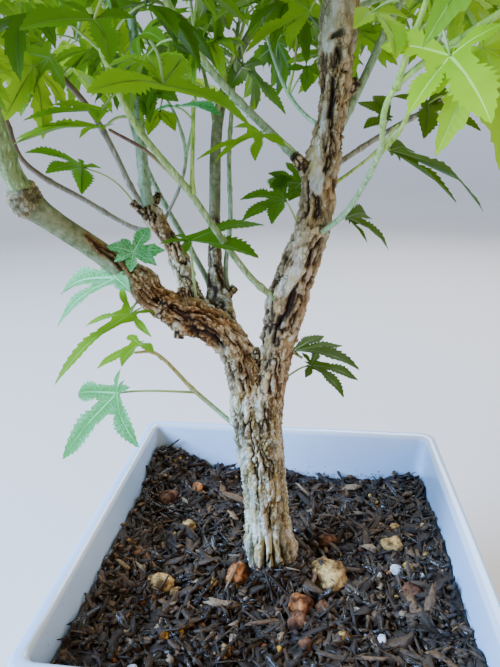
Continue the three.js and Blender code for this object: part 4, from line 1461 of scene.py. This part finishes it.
def build_soil(soils):
    """The soil's body: a fine height field over the pot's inside, with its sides down to the floor."""
    reach = pot_half_width(SOIL_LEVEL) - POT_WALL - CLEARANCE
    shares = np.linspace(1, 0.004, SOIL_ROWS)
    top = square_ring(reach * shares, INNER_CORNER * shares, SOIL_COLUMNS, np.zeros(SOIL_ROWS))
    top[..., 2] = soil_height(top[..., 0], top[..., 1])
    depths = np.linspace(POT_FLOOR + CLEARANCE, SOIL_LEVEL - 6, SIDE_ROWS)
    half = pot_half_width(depths) - POT_WALL - CLEARANCE
    surface = np.concatenate([square_ring(half, np.full(SIDE_ROWS, INNER_CORNER), SOIL_COLUMNS, depths), top])
    poles = np.array([[0, 0, depths[0]], [0, 0, soil_height(np.zeros(1), np.zeros(1))[0]]])
    points = np.vstack([surface.reshape(-1, 3), poles])
    groups = [(faces, 0) for faces in tube_faces(len(surface), SOIL_COLUMNS)]
    belongs(mesh_piece("soil_bed", points, groups, soils[:1]), "potting_soil", "soil")


def soil_material(name, dark, light, roughness):
    """Composted bark, shredded and moist: almost black, with a dull sheen on flat fibres."""
    material, tree = new_material("Composted bark, " + name)
    grain = add_node(tree, "TexNoise", [in_millimetres(tree, 1.6, 1.6, 1.6), 1, 5, 0.65])
    surface = add_node(tree, "BsdfPrincipled", {
        "Base Color": add_node(tree, "ValToRGB", [grain], stops=[(0.3, dark), (0.7, light)]),
        "Roughness": roughness,
        "Specular IOR Level": 0.42,
        "Normal": add_node(tree, "Bump", {"Height": grain, "Distance": 0.5 * MM, "Strength": 0.9}),
    })
    add_node(tree, "OutputMaterial", [surface])
    return material


def rotations(yaw, pitch, roll):
    """Turns about the length, then up or down, then round the vertical, as matrices of rows."""
    cy, sy, cp, sp, cr, sr = (f(a) for a in (yaw, pitch, roll) for f in (np.cos, np.sin))
    x = np.stack([cy * cp, sy * cp, sp], -1)
    y = np.stack([-sy * cr - cy * sp * sr, cy * cr - sy * sp * sr, cp * sr], -1)
    return np.stack([x, y, np.cross(x, y)], 1)


CHIP_RINGS, CHIP_SIDES = 4, 5
# Shreds on the soil: the piece, the count, the spans of length, width and thickness in mm, how deep
# each sinks as a share of its thickness, and the seed
CHIPS = [
    ("bark_shreds", 820, ((7, 20), (3.4, 8.5), (1.0, 3.0)), 0.3, 61),
    ("bark_slivers", 1200, ((6, 17), (0.8, 2.2), (0.5, 1.4)), 0.5, 62),
    ("bark_crumbs", 3000, ((2.4, 7.0), (2.0, 5.4), (1.3, 3.8)), 0.4, 63),
]
# How often a shred has each colour of soil
SOIL_CHANCES = (0.36, 0.28, 0.27, 0.065, 0.025)
# Fibres that lean on the trunk's foot: the count, the spans of their sizes and of their way from it
FIBRES = 170
FIBRE_SIZES = ((8, 17), (1.0, 2.6), (0.7, 1.6))
FIBRE_REACH = (14.5, 24)
FIBRE_SEED = 64
# How far the trunk reaches from its own axis, where no shred may lie
TRUNK_REACH = 11.5


def chip_points(count, rng):
    """Shreds of bark: flat five-sided spindles with uneven rings, 1 across and 1 long."""
    along = np.linspace(-0.5, 0.5, CHIP_RINGS)[None, :, None]
    angles = (np.arange(CHIP_SIDES) / CHIP_SIDES * FULL_TURN)[None, None]
    swell = rng.uniform(0.32, 1.0, (count, CHIP_RINGS, CHIP_SIDES)) * 0.5
    swell[:, [0, -1]] *= rng.uniform(0.3, 1.0, (count, 2, 1))
    skew = rng.normal(0, 0.1, (count, CHIP_RINGS, CHIP_SIDES))
    bow = rng.normal(0, 0.7, (count, 1, 1)) * along**2
    ring = np.stack([along + skew, bow + swell * np.cos(angles), swell * np.sin(angles)], -1)
    ends = ring[:, [0, -1]].mean(axis=2)
    return np.concatenate([ring.reshape(count, -1, 3), ends], 1)


def chip_sizes(spans, count, rng):
    """Random lengths, widths and thicknesses, each even over its span."""
    return np.stack([rng.uniform(*span, count) for span in spans], -1)


def build_chips(soils):
    """Thousands of bark shreds and crumbs that lie on the soil, joined by size."""
    reach = pot_half_width(SOIL_LEVEL) - POT_WALL - 1
    for name, count, spans, sink, seed in CHIPS:
        rng = np.random.default_rng(seed)
        size = chip_sizes(spans, count, rng)
        x, y = rng.uniform(-reach, reach, (2, count))
        turns = rng.uniform(0, FULL_TURN, count), rng.normal(0, 0.38, count), rng.normal(0, 0.75, count)
        z = soil_height(x, y) + size[:, 2] * (0.5 - sink) + rng.uniform(0, 2.4, count)
        add_chips(name, np.stack([x, y, z], -1), size, turns, soils, rng)
    rng = np.random.default_rng(FIBRE_SEED)
    yaw = rng.uniform(0, FULL_TURN, FIBRES)
    size = chip_sizes(FIBRE_SIZES, FIBRES, rng)
    away = rng.uniform(*FIBRE_REACH, FIBRES)
    x, y = TRUNK_FOOT[0] + away * np.cos(yaw), TRUNK_FOOT[1] + away * np.sin(yaw)
    z = soil_height(x, y) + rng.uniform(0.5, 2.5, FIBRES)
    turns = yaw + rng.normal(0, 0.35, FIBRES), -rng.uniform(0.15, 0.75, FIBRES), rng.normal(0, 0.6, FIBRES)
    add_chips("foot_fibres", np.stack([x, y, z], -1), size, turns, soils, rng)


def add_chips(name, centres, size, turns, soils, rng):
    """Shreds at their places, less those that would cross the pot's wall or the trunk."""
    shape = chip_points(len(centres), rng) * size[:, None]
    points = centres[:, None] + np.einsum("nvk,nkx->nvx", shape, rotations(*turns))
    reach = pot_half_width(points[..., 2]) - POT_WALL - 0.2
    fits = (np.abs(points[..., :2]).max(axis=-1) < reach).all(axis=1)
    fits &= np.hypot(points[..., 0] + 3.5, points[..., 1]).min(axis=1) > TRUNK_REACH
    points = points[fits]
    kinds = rng.choice(len(soils), len(points), p=SOIL_CHANCES)
    add_copies(name, points, tube_faces(CHIP_RINGS, CHIP_SIDES, len(points)), kinds, soils)


def add_copies(name, points, faces, kinds, materials):
    """Many small tubes or balls of the soil as one piece, each in the material of its kind."""
    groups = [(corners, np.repeat(kinds, len(corners) // len(points))) for corners in faces]
    belongs(mesh_piece(name, points.reshape(-1, 3), groups, materials), "potting_soil")


# Lumps of pumice, fired clay and perlite that show on the soil: x, y, size, kind
LUMPS = [
    (28, -6, 20, "tan"), (-21, -13, 14, "rust"), (12.7, -28, 12.5, "rust"), (11.6, -40, 10, "umber"),
    (27.6, 20.2, 9.5, "umber"), (62.5, 14.8, 11, "tan"), (58, 31.4, 6, "tan"), (66, 31.6, 6, "tan"),
    (69.8, 2, 7, "tan"), (-60, -23, 12, "tan"), (-51, -26.4, 6, "tan"), (-57.6, 59.4, 9, "rust"),
    (-54, 19.5, 8.5, "tan"), (-73, 44, 13, "umber"), (-48.6, -55.8, 4.8, "amber"),
    (-42.6, -51.4, 4, "amber"), (-70, -53, 4, "rust"), (19.6, -37.5, 3.4, "amber"),
    (53, -5.5, 4.8, "white"), (63.2, -1.6, 6, "white"), (39.9, -31.3, 4.4, "white"),
    (50.8, -44.7, 4.4, "white"), (68.6, -17.8, 10, "umber"), (-19.4, -60.4, 5.4, "tan"),
    (-33.6, -44.2, 3.5, "rust"), (32, -47.2, 6, "tan"), (16, -51.5, 7, "umber"), (-22, -22.4, 6, "tan"),
    (-33, -20, 6, "tan"), (83, 31.8, 4.7, "tan"), (23.6, -27.6, 8.5, "umber"), (-3, -52, 4, "rust"),
    (-48, 11.6, 3.6, "tan"), (-62, 52, 5, "tan"), (40, -78, 6, "tan"), (-58, -74, 5, "white"),
    (4, -76, 7, "umber"), (72, -66, 6, "tan"), (-76, -8, 5, "umber"),
]
LUMP_COLOURS = {
    "tan": ("70522c", "d4ac68"), "rust": ("5c2e16", "c07a44"), "umber": ("3a2216", "84583a"),
    "amber": ("94661e", "ecb040"), "white": ("a9aeb4", "e2e8ee"),
}
LUMP_KINDS = list(LUMP_COLOURS)
# Rings of a lump or pellet and points round each, then the pellets' count, reach and sizes in mm
LUMP_GRID = (18, 26)
PELLET_GRID = (4, 7)
PELLETS = 420
PELLET_REACH = 87
PELLET_SIZES = (1.2, 3.6)
PELLET_SEED = 77
# How often a pellet has each colour
PELLET_CHANCES = (0.3, 0.2, 0.36, 0.06, 0.08)


def lump_material(name, dark, light):
    """Pumice, fired clay or perlite: dry and pitted, darker down in its pits, and dusted with dark soil in
    patches.
    """
    material, tree = new_material("Soil lump, " + name)
    pits = add_node(tree, "TexNoise", [in_millimetres(tree, 2.2, 2.2, 2.2), 1, 6, 0.7])
    stain = add_node(tree, "TexNoise", [in_millimetres(tree, 6, 6, 6), 1, 3, 0.55])
    colour = add_node(tree, "ValToRGB", [pits], stops=[(0.34, dark), (0.56, light)])
    dust = "c8c4bc" if name == "white" else "6c5a46"
    dusted = add_node(tree, "ValToRGB", [stain], stops=[(0.4, dust), (0.6, "ffffff")])
    surface = add_node(tree, "BsdfPrincipled", {
        "Base Color": add_node(tree, "Mix", [1.0, colour, dusted], data_type="RGBA", blend_type="MULTIPLY"),
        "Roughness": 0.85,
        "Specular IOR Level": 0.2,
        "Normal": add_node(tree, "Bump", {"Height": pits, "Distance": 0.6 * MM, "Strength": 0.8}),
    })
    add_node(tree, "OutputMaterial", [surface])
    return material


def ball_points(centres, sizes, rows, columns, seed):
    """Uneven balls: a radius of 1 plus noise, over rings from pole to pole, flattened by a fifth."""
    down = (np.arange(rows) + 0.5) / rows * np.pi
    round_it = np.arange(columns) / columns * FULL_TURN
    ring = np.stack([
        np.sin(down)[:, None] * np.cos(round_it),
        np.sin(down)[:, None] * np.sin(round_it),
        np.broadcast_to(-np.cos(down)[:, None], (rows, columns)),
    ], -1).reshape(-1, 3)
    shape = np.vstack([ring, [[0, 0, -1], [0, 0, 1]]])
    own = np.arange(len(centres))[:, None, None] * 7.3
    rough = 0.28 * field(shape * 1.4 + own, seed) + 0.12 * layered(shape * 3.4 + own, seed + 3, 2)
    stretch = 1 + 0.22 * field(np.array(centres) / 3, seed + 9)[:, None, None] * (1, -1, -0.6)
    radius = np.asarray(sizes)[:, None, None] / 2
    return np.array(centres)[:, None] + shape * (1, 1, 0.8) * stretch * (1 + rough[..., None]) * radius


def build_lumps():
    """The lumps that show, and a scatter of small pellets between them."""
    materials = [lump_material(name, *colours) for name, colours in LUMP_COLOURS.items()]
    x, y, sizes = (np.array([row[k] for row in LUMPS], float) for k in range(3))
    kinds = np.array([LUMP_KINDS.index(row[3]) for row in LUMPS])
    proud = np.where(kinds == LUMP_KINDS.index("white"), 2.4, 0.6)
    centres = np.stack([x, y, soil_height(x, y) + 0.1 * sizes + proud], -1)
    points = ball_points(centres, sizes, *LUMP_GRID, 31)
    add_copies("pumice_lumps", points, tube_faces(*LUMP_GRID, len(points)), kinds, materials)
    rng = np.random.default_rng(PELLET_SEED)
    x, y = rng.uniform(-PELLET_REACH, PELLET_REACH, (2, PELLETS))
    away = np.hypot(x + 3, y) > 14
    sizes = rng.uniform(*PELLET_SIZES, PELLETS)
    centres = np.stack([x, y, soil_height(x, y) + 0.4 + rng.uniform(-0.8, 1.0, PELLETS)], -1)[away]
    kinds = rng.choice(len(LUMP_KINDS), away.sum(), p=PELLET_CHANCES)
    points = ball_points(centres, sizes[away], *PELLET_GRID, 33)
    add_copies("soil_pellets", points, tube_faces(*PELLET_GRID, len(points)), kinds, materials)


# Pot

PERIMETER_STEPS = 320
WALL_ROWS, FOOT_ROWS, RIM_ROWS = 14, 6, 7
# Where soil stains the glaze most, and how far up and down from there the stain runs out, in mm
STAIN_LEVEL = SOIL_LEVEL - 2
STAIN_REACH = 16.0


def glaze_material():
    """Stoneware dipped in white glaze: glassy and uneven, and stained just above the soil. The white is
    tinted sky blue all over, a painted reflection of the sky, and a beige band round the rim's inner edge is
    a painted reflection of warm surroundings.

    The stain and most of the flecks lie within STAIN_REACH of the soil's edge, on the inside only."""
    material, tree = new_material("White glaze on stoneware")
    splash = add_node(tree, "TexNoise", [in_millimetres(tree, 3.2, 3.2, 2.2), 1, 6, 0.75])
    flecks = add_node(tree, "TexNoise", [in_millimetres(tree, 1.5, 1.5, 1.5), 1, 2, 0.5])
    cloud = add_node(tree, "TexNoise", [in_millimetres(tree, 55, 55, 55), 1, 2, 0.55])
    dimple = add_node(tree, "TexNoise", [in_millimetres(tree, 14, 14, 14), 1, 2, 0.55])
    within, brim = (
        add_node(tree, "Attribute", output="Fac", attribute_name=name) for name in ("within", "brim"))
    height = add_node(tree, "SeparateXYZ", [in_millimetres(tree, 1, 1, 1)], "Z")
    rise = [height, 1 / STAIN_REACH, -STAIN_LEVEL / STAIN_REACH]
    rise = add_node(tree, "Math", rise, operation="MULTIPLY_ADD")
    away = add_node(tree, "Math", [rise], operation="ABSOLUTE")
    above = add_node(tree, "Math", [splash, away], operation="SUBTRACT")
    stain = add_node(tree, "MapRange", [above, 0.42, 0.62, 0.0, 0.75])
    low = add_node(tree, "Math", [1.0, away], operation="SUBTRACT", use_clamp=True)
    dense = add_node(tree, "Math", [low, 0.1, flecks], operation="MULTIPLY_ADD")
    fleck = add_node(tree, "MapRange", [dense, 0.735, 0.735 + 1 / 26, 0.0, 0.8])
    stain, fleck = (add_node(tree, "Math", [share, within], operation="MULTIPLY") for share in (stain, fleck))
    # Painted reflection: the white glaze is tinted sky blue all over
    white = add_node(tree, "ValToRGB", [cloud], stops=[(0.35, "b8d6f3"), (0.65, "c4def8")])
    # The brim's beige band is a painted reflection of warm surroundings; the stain and flecks are soil on the
    # glaze
    for share, over in ((brim, "dccfb6"), (stain, "6b5443"), (fleck, "4d3b2e")):
        white = add_node(tree, "Mix", [share, white, over], data_type="RGBA")
    surface = add_node(tree, "BsdfPrincipled", {
        "Base Color": white,
        "Roughness": 0.16,
        "Specular IOR Level": 0.5,
        "Coat Weight": 0.6,
        "Coat Roughness": 0.06,
        "Normal": add_node(tree, "Bump", {"Height": dimple, "Distance": 0.35 * MM, "Strength": 0.35}),
    })
    add_node(tree, "OutputMaterial", [surface])
    return material


def pot_profile():
    """The wall's outline as inset and height: up the outside, over the round rim and down the inside.

    The foot and the rim are quarter circles of the rim's radius."""
    low, high = RIM_ROUND, POT_HEIGHT - RIM_ROUND
    foot, rim = (np.linspace(0, np.pi / 2, rows) for rows in (FOOT_ROWS, RIM_ROWS))
    stretches = (
        (RIM_ROUND * (1 - np.sin(foot[:-1])), RIM_ROUND * (1 - np.cos(foot[:-1]))),
        (np.zeros(WALL_ROWS), np.linspace(low, high, WALL_ROWS)),
        (RIM_ROUND * (1 - np.cos(rim[1:])), POT_HEIGHT - RIM_ROUND * (1 - np.sin(rim[1:]))),
        (POT_WALL - RIM_ROUND * (1 - np.sin(rim[:-1])), POT_HEIGHT - RIM_ROUND * (1 - np.cos(rim[:-1]))),
        (np.full(WALL_ROWS, POT_WALL), np.linspace(high, POT_FLOOR, WALL_ROWS)),
    )
    return np.concatenate(stretches, axis=1)


def build_pot():
    """The pot's wall, rim, floor and drain holes, as one closed surface of a profile round a square.

    Four quarters of the floor close the profile at both ends, and the wall sags in and out a little."""
    inset, z = pot_profile()
    corner = OUTER_CORNER + (INNER_CORNER - OUTER_CORNER) * np.clip(inset / POT_WALL, 0, 1)
    wall = square_ring(pot_half_width(z) - inset, corner, PERIMETER_STEPS, z)
    sag = 0.25 * field(wall / 60, 3) * smooth_step(0, 20, wall[..., 2])
    wall = wall + unit(wall * (1, 1, 0)) * sag[..., None]
    parts = [(wall.reshape(-1, 3), tube_faces(len(z), PERIMETER_STEPS)[0])]
    for number in range(4):
        parts += floor_quarter(wall[0], wall[-1], number)
    starts = np.cumsum([0] + [len(points) for points, _ in parts])
    groups = [(np.concatenate([faces + start for (_, faces), start in zip(parts, starts)]), 0)]
    joined = np.vstack([points for points, _ in parts])
    # Painted reflection: a beige band round the rim's inner edge
    painted_brim_reflection = np.where(z > POT_HEIGHT - 2 * RIM_ROUND, np.exp(-(((inset - POT_WALL + 0.9) / 0.7) ** 2)), 0)
    shares = {}
    for title, share in (("within", inset > 1.0), ("brim", 0.6 * painted_brim_reflection)):
        shares[title] = np.zeros(len(joined))
        shares[title][: wall[..., 0].size] = np.repeat(share, PERIMETER_STEPS)
    belongs(mesh_piece("glazed_pot", joined, groups, [glaze_material()], shares), "glazed_pot", "pot")


def floor_quarter(under, inside, number):
    """A quarter of the floor: its underside, its upper face and the wall of its drain hole.

    Both faces are straight lines from the hole's circle to the outline of their quarter, which runs
    from the middle of a side round the corner to the next, in to the floor's centre and back."""
    span = PERIMETER_STEPS // 4
    share = np.linspace(0, 1, span // 2 + 1)[1:, None]
    turn = (number + 0.5) * np.pi / 2
    circles, outlines = [], []
    for ring in (under, inside):
        corner = ring[(number * span + span // 2 + np.arange(span + 1)) % PERIMETER_STEPS]
        middle = np.array([0, 0, ring[0, 2]])
        inward, back = (end + (middle - end) * share for end in (corner[-1], corner[0]))
        outlines.append(np.vstack([corner, inward, back[-2::-1]]))
        angles = turn - np.pi / 2 + np.arange(2 * span) / (2 * span) * FULL_TURN
        centre = middle + DRAIN_OFFSET * np.sqrt(2) * np.array([np.cos(turn), np.sin(turn), 0])
        spokes = np.stack([np.cos(angles), np.sin(angles), np.zeros(len(angles))], -1)
        circles.append(centre + DRAIN_RADIUS * spokes)
    j = np.arange(2 * span)
    k = (j + 1) % len(j)
    down = np.stack([j, k, k + len(j), j + len(j)], -1)
    up = down[:, ::-1]
    bands = ((circles[0], outlines[0], down), (circles[1], outlines[1], up), (*circles, up))
    return [(np.vstack([inner, outer]), faces) for inner, outer, faces in bands]


# Stage, lights and camera

# The radius of the flat floor and of the curve beyond it, and the height of the wall's top, in mm
STAGE_FLAT, STAGE_CURVE, STAGE_TOP = 2300, 900, 1500
FLAT_ROWS, CURVE_ROWS, STAGE_COLUMNS = 12, 14, 96
# Soft lamps: the name, the place and the width in metres, the power in watts and the colour
LAMPS = [
    ("Window light", (-1.5, -0.75, 1.25), 0.9, 185, "a0c5ff"),
    ("Warm fill", (1.3, -0.8, 1.0), 1.0, 13, "ffc48a"),
    ("Back light", (0.5, 1.3, 1.6), 1.2, 40, "eef5ff"),
]
LAMP_AIM = (0, 0, 0.3)
SKY_COLOUR, SKY_STRENGTH = "e0e9f6", 0.45


def build_stage():
    """A pale dish: a flat floor that curves up into a wall all round, so no horizon shows.

    Its rings are a flat disc, a quarter circle up from the disc's edge, and the wall's top."""
    angle = np.linspace(0, np.pi / 2, CURVE_ROWS)
    curve = STAGE_FLAT + STAGE_CURVE * np.sin(angle)
    radius = np.concatenate([np.linspace(60, STAGE_FLAT, FLAT_ROWS), curve, curve[-1:]])
    height = np.concatenate([np.zeros(FLAT_ROWS), STAGE_CURVE * (1 - np.cos(angle)), [STAGE_TOP]])
    turns = np.arange(STAGE_COLUMNS) / STAGE_COLUMNS * FULL_TURN
    points = np.stack([
        radius[:, None] * np.cos(turns), radius[:, None] * np.sin(turns), height[:, None] + 0 * turns,
    ], -1).reshape(-1, 3)
    quads, fans = tube_faces(len(radius), STAGE_COLUMNS)
    groups = [(quads[:, ::-1], 0), (fans[:STAGE_COLUMNS, ::-1], 0)]
    material, tree = new_material("Pale studio paper, matte")
    inputs = {"Base Color": "e0d8cc", "Roughness": 0.9, "Specular IOR Level": 0.2}
    surface = add_node(tree, "BsdfPrincipled", inputs)
    add_node(tree, "OutputMaterial", [surface])
    points = np.vstack([points, [[0, 0, 0], [0, 0, STAGE_TOP]]])
    floor = mesh_piece("studio_floor", points, groups, [material])


def add_lamp(name, place, size, power, colour):
    """A soft square lamp, in metres, that looks at the plant."""
    lamp = bpy.data.lights.new(name, "AREA")
    lamp.shape = "SQUARE"
    lamp.size = size
    lamp.energy = power
    lamp.color = linear(colour)[:3]
    holder = bpy.data.objects.new(name, lamp)
    bpy.context.scene.collection.objects.link(holder)
    holder.location = place
    holder.rotation_euler = (Vector(LAMP_AIM) - Vector(place)).to_track_quat("-Z", "Y").to_euler()


def add_lights():
    """Soft daylight from the left, a warmer fill from the right, and a pale sky."""
    for row in LAMPS:
        add_lamp(*row)
    world = bpy.data.worlds.new("Soft sky")
    world.use_nodes = True
    sky = world.node_tree.nodes["Background"]
    sky.inputs["Color"].default_value = linear(SKY_COLOUR)
    sky.inputs["Strength"].default_value = SKY_STRENGTH
    bpy.context.scene.world = world


# The photograph's viewpoint, fitted to the pot's rim
CAMERA_PLACE = (13.6, -237.2, 368.1)
CAMERA_YAW, CAMERA_PITCH, CAMERA_ROLL = np.radians([-6.687, 19.517, -0.568])
FOCAL_PIXELS, FRAME_HEIGHT = 540.0, 667.0


def add_camera():
    """The camera looks down and a little left. Its lens gives a focal length of 540 pixels."""
    yaw, pitch, roll = CAMERA_YAW, CAMERA_PITCH, CAMERA_ROLL
    ahead = np.array([np.sin(yaw) * np.cos(pitch), np.cos(yaw) * np.cos(pitch), -np.sin(pitch)])
    right = np.array([np.cos(yaw), -np.sin(yaw), 0.0])
    above = np.cross(right, ahead)
    turned_right = np.cos(roll) * right + np.sin(roll) * above
    turned_up = -np.sin(roll) * right + np.cos(roll) * above
    data = bpy.data.cameras.new("Camera")
    data.sensor_width = 36.0
    data.lens = FOCAL_PIXELS * data.sensor_width / FRAME_HEIGHT
    data.clip_start = 0.01
    camera = bpy.data.objects.new("Camera", data)
    bpy.context.scene.collection.objects.link(camera)
    turn = Matrix((turned_right, turned_up, -ahead)).transposed().to_4x4()
    camera.matrix_world = Matrix.Translation(Vector(CAMERA_PLACE) * MM) @ turn
    bpy.context.scene.camera = camera


add_camera()
add_lights()
build_stage()
build_pot()
SOILS = [
    soil_material("black", "130c07", "3a2b1c", 0.7),
    soil_material("dark brown", "24170c", "58422a", 0.6),
    soil_material("moist", "130e0a", "3c3126", 0.22),
    soil_material("brown", "3c2916", "7c5a36", 0.7),
    soil_material("grey brown", "56442f", "a68d6c", 0.75),
]
build_soil(SOILS)
build_chips(SOILS)
build_lumps()
limb_paths = build_bark()
limb_paths.update(build_shoots())
LEAF_MATERIALS = leaf_materials()
build_low_leaves(LEAF_MATERIALS)
build_shoot_leaves(limb_paths, LEAF_MATERIALS)
build_crown(limb_paths, LEAF_MATERIALS)
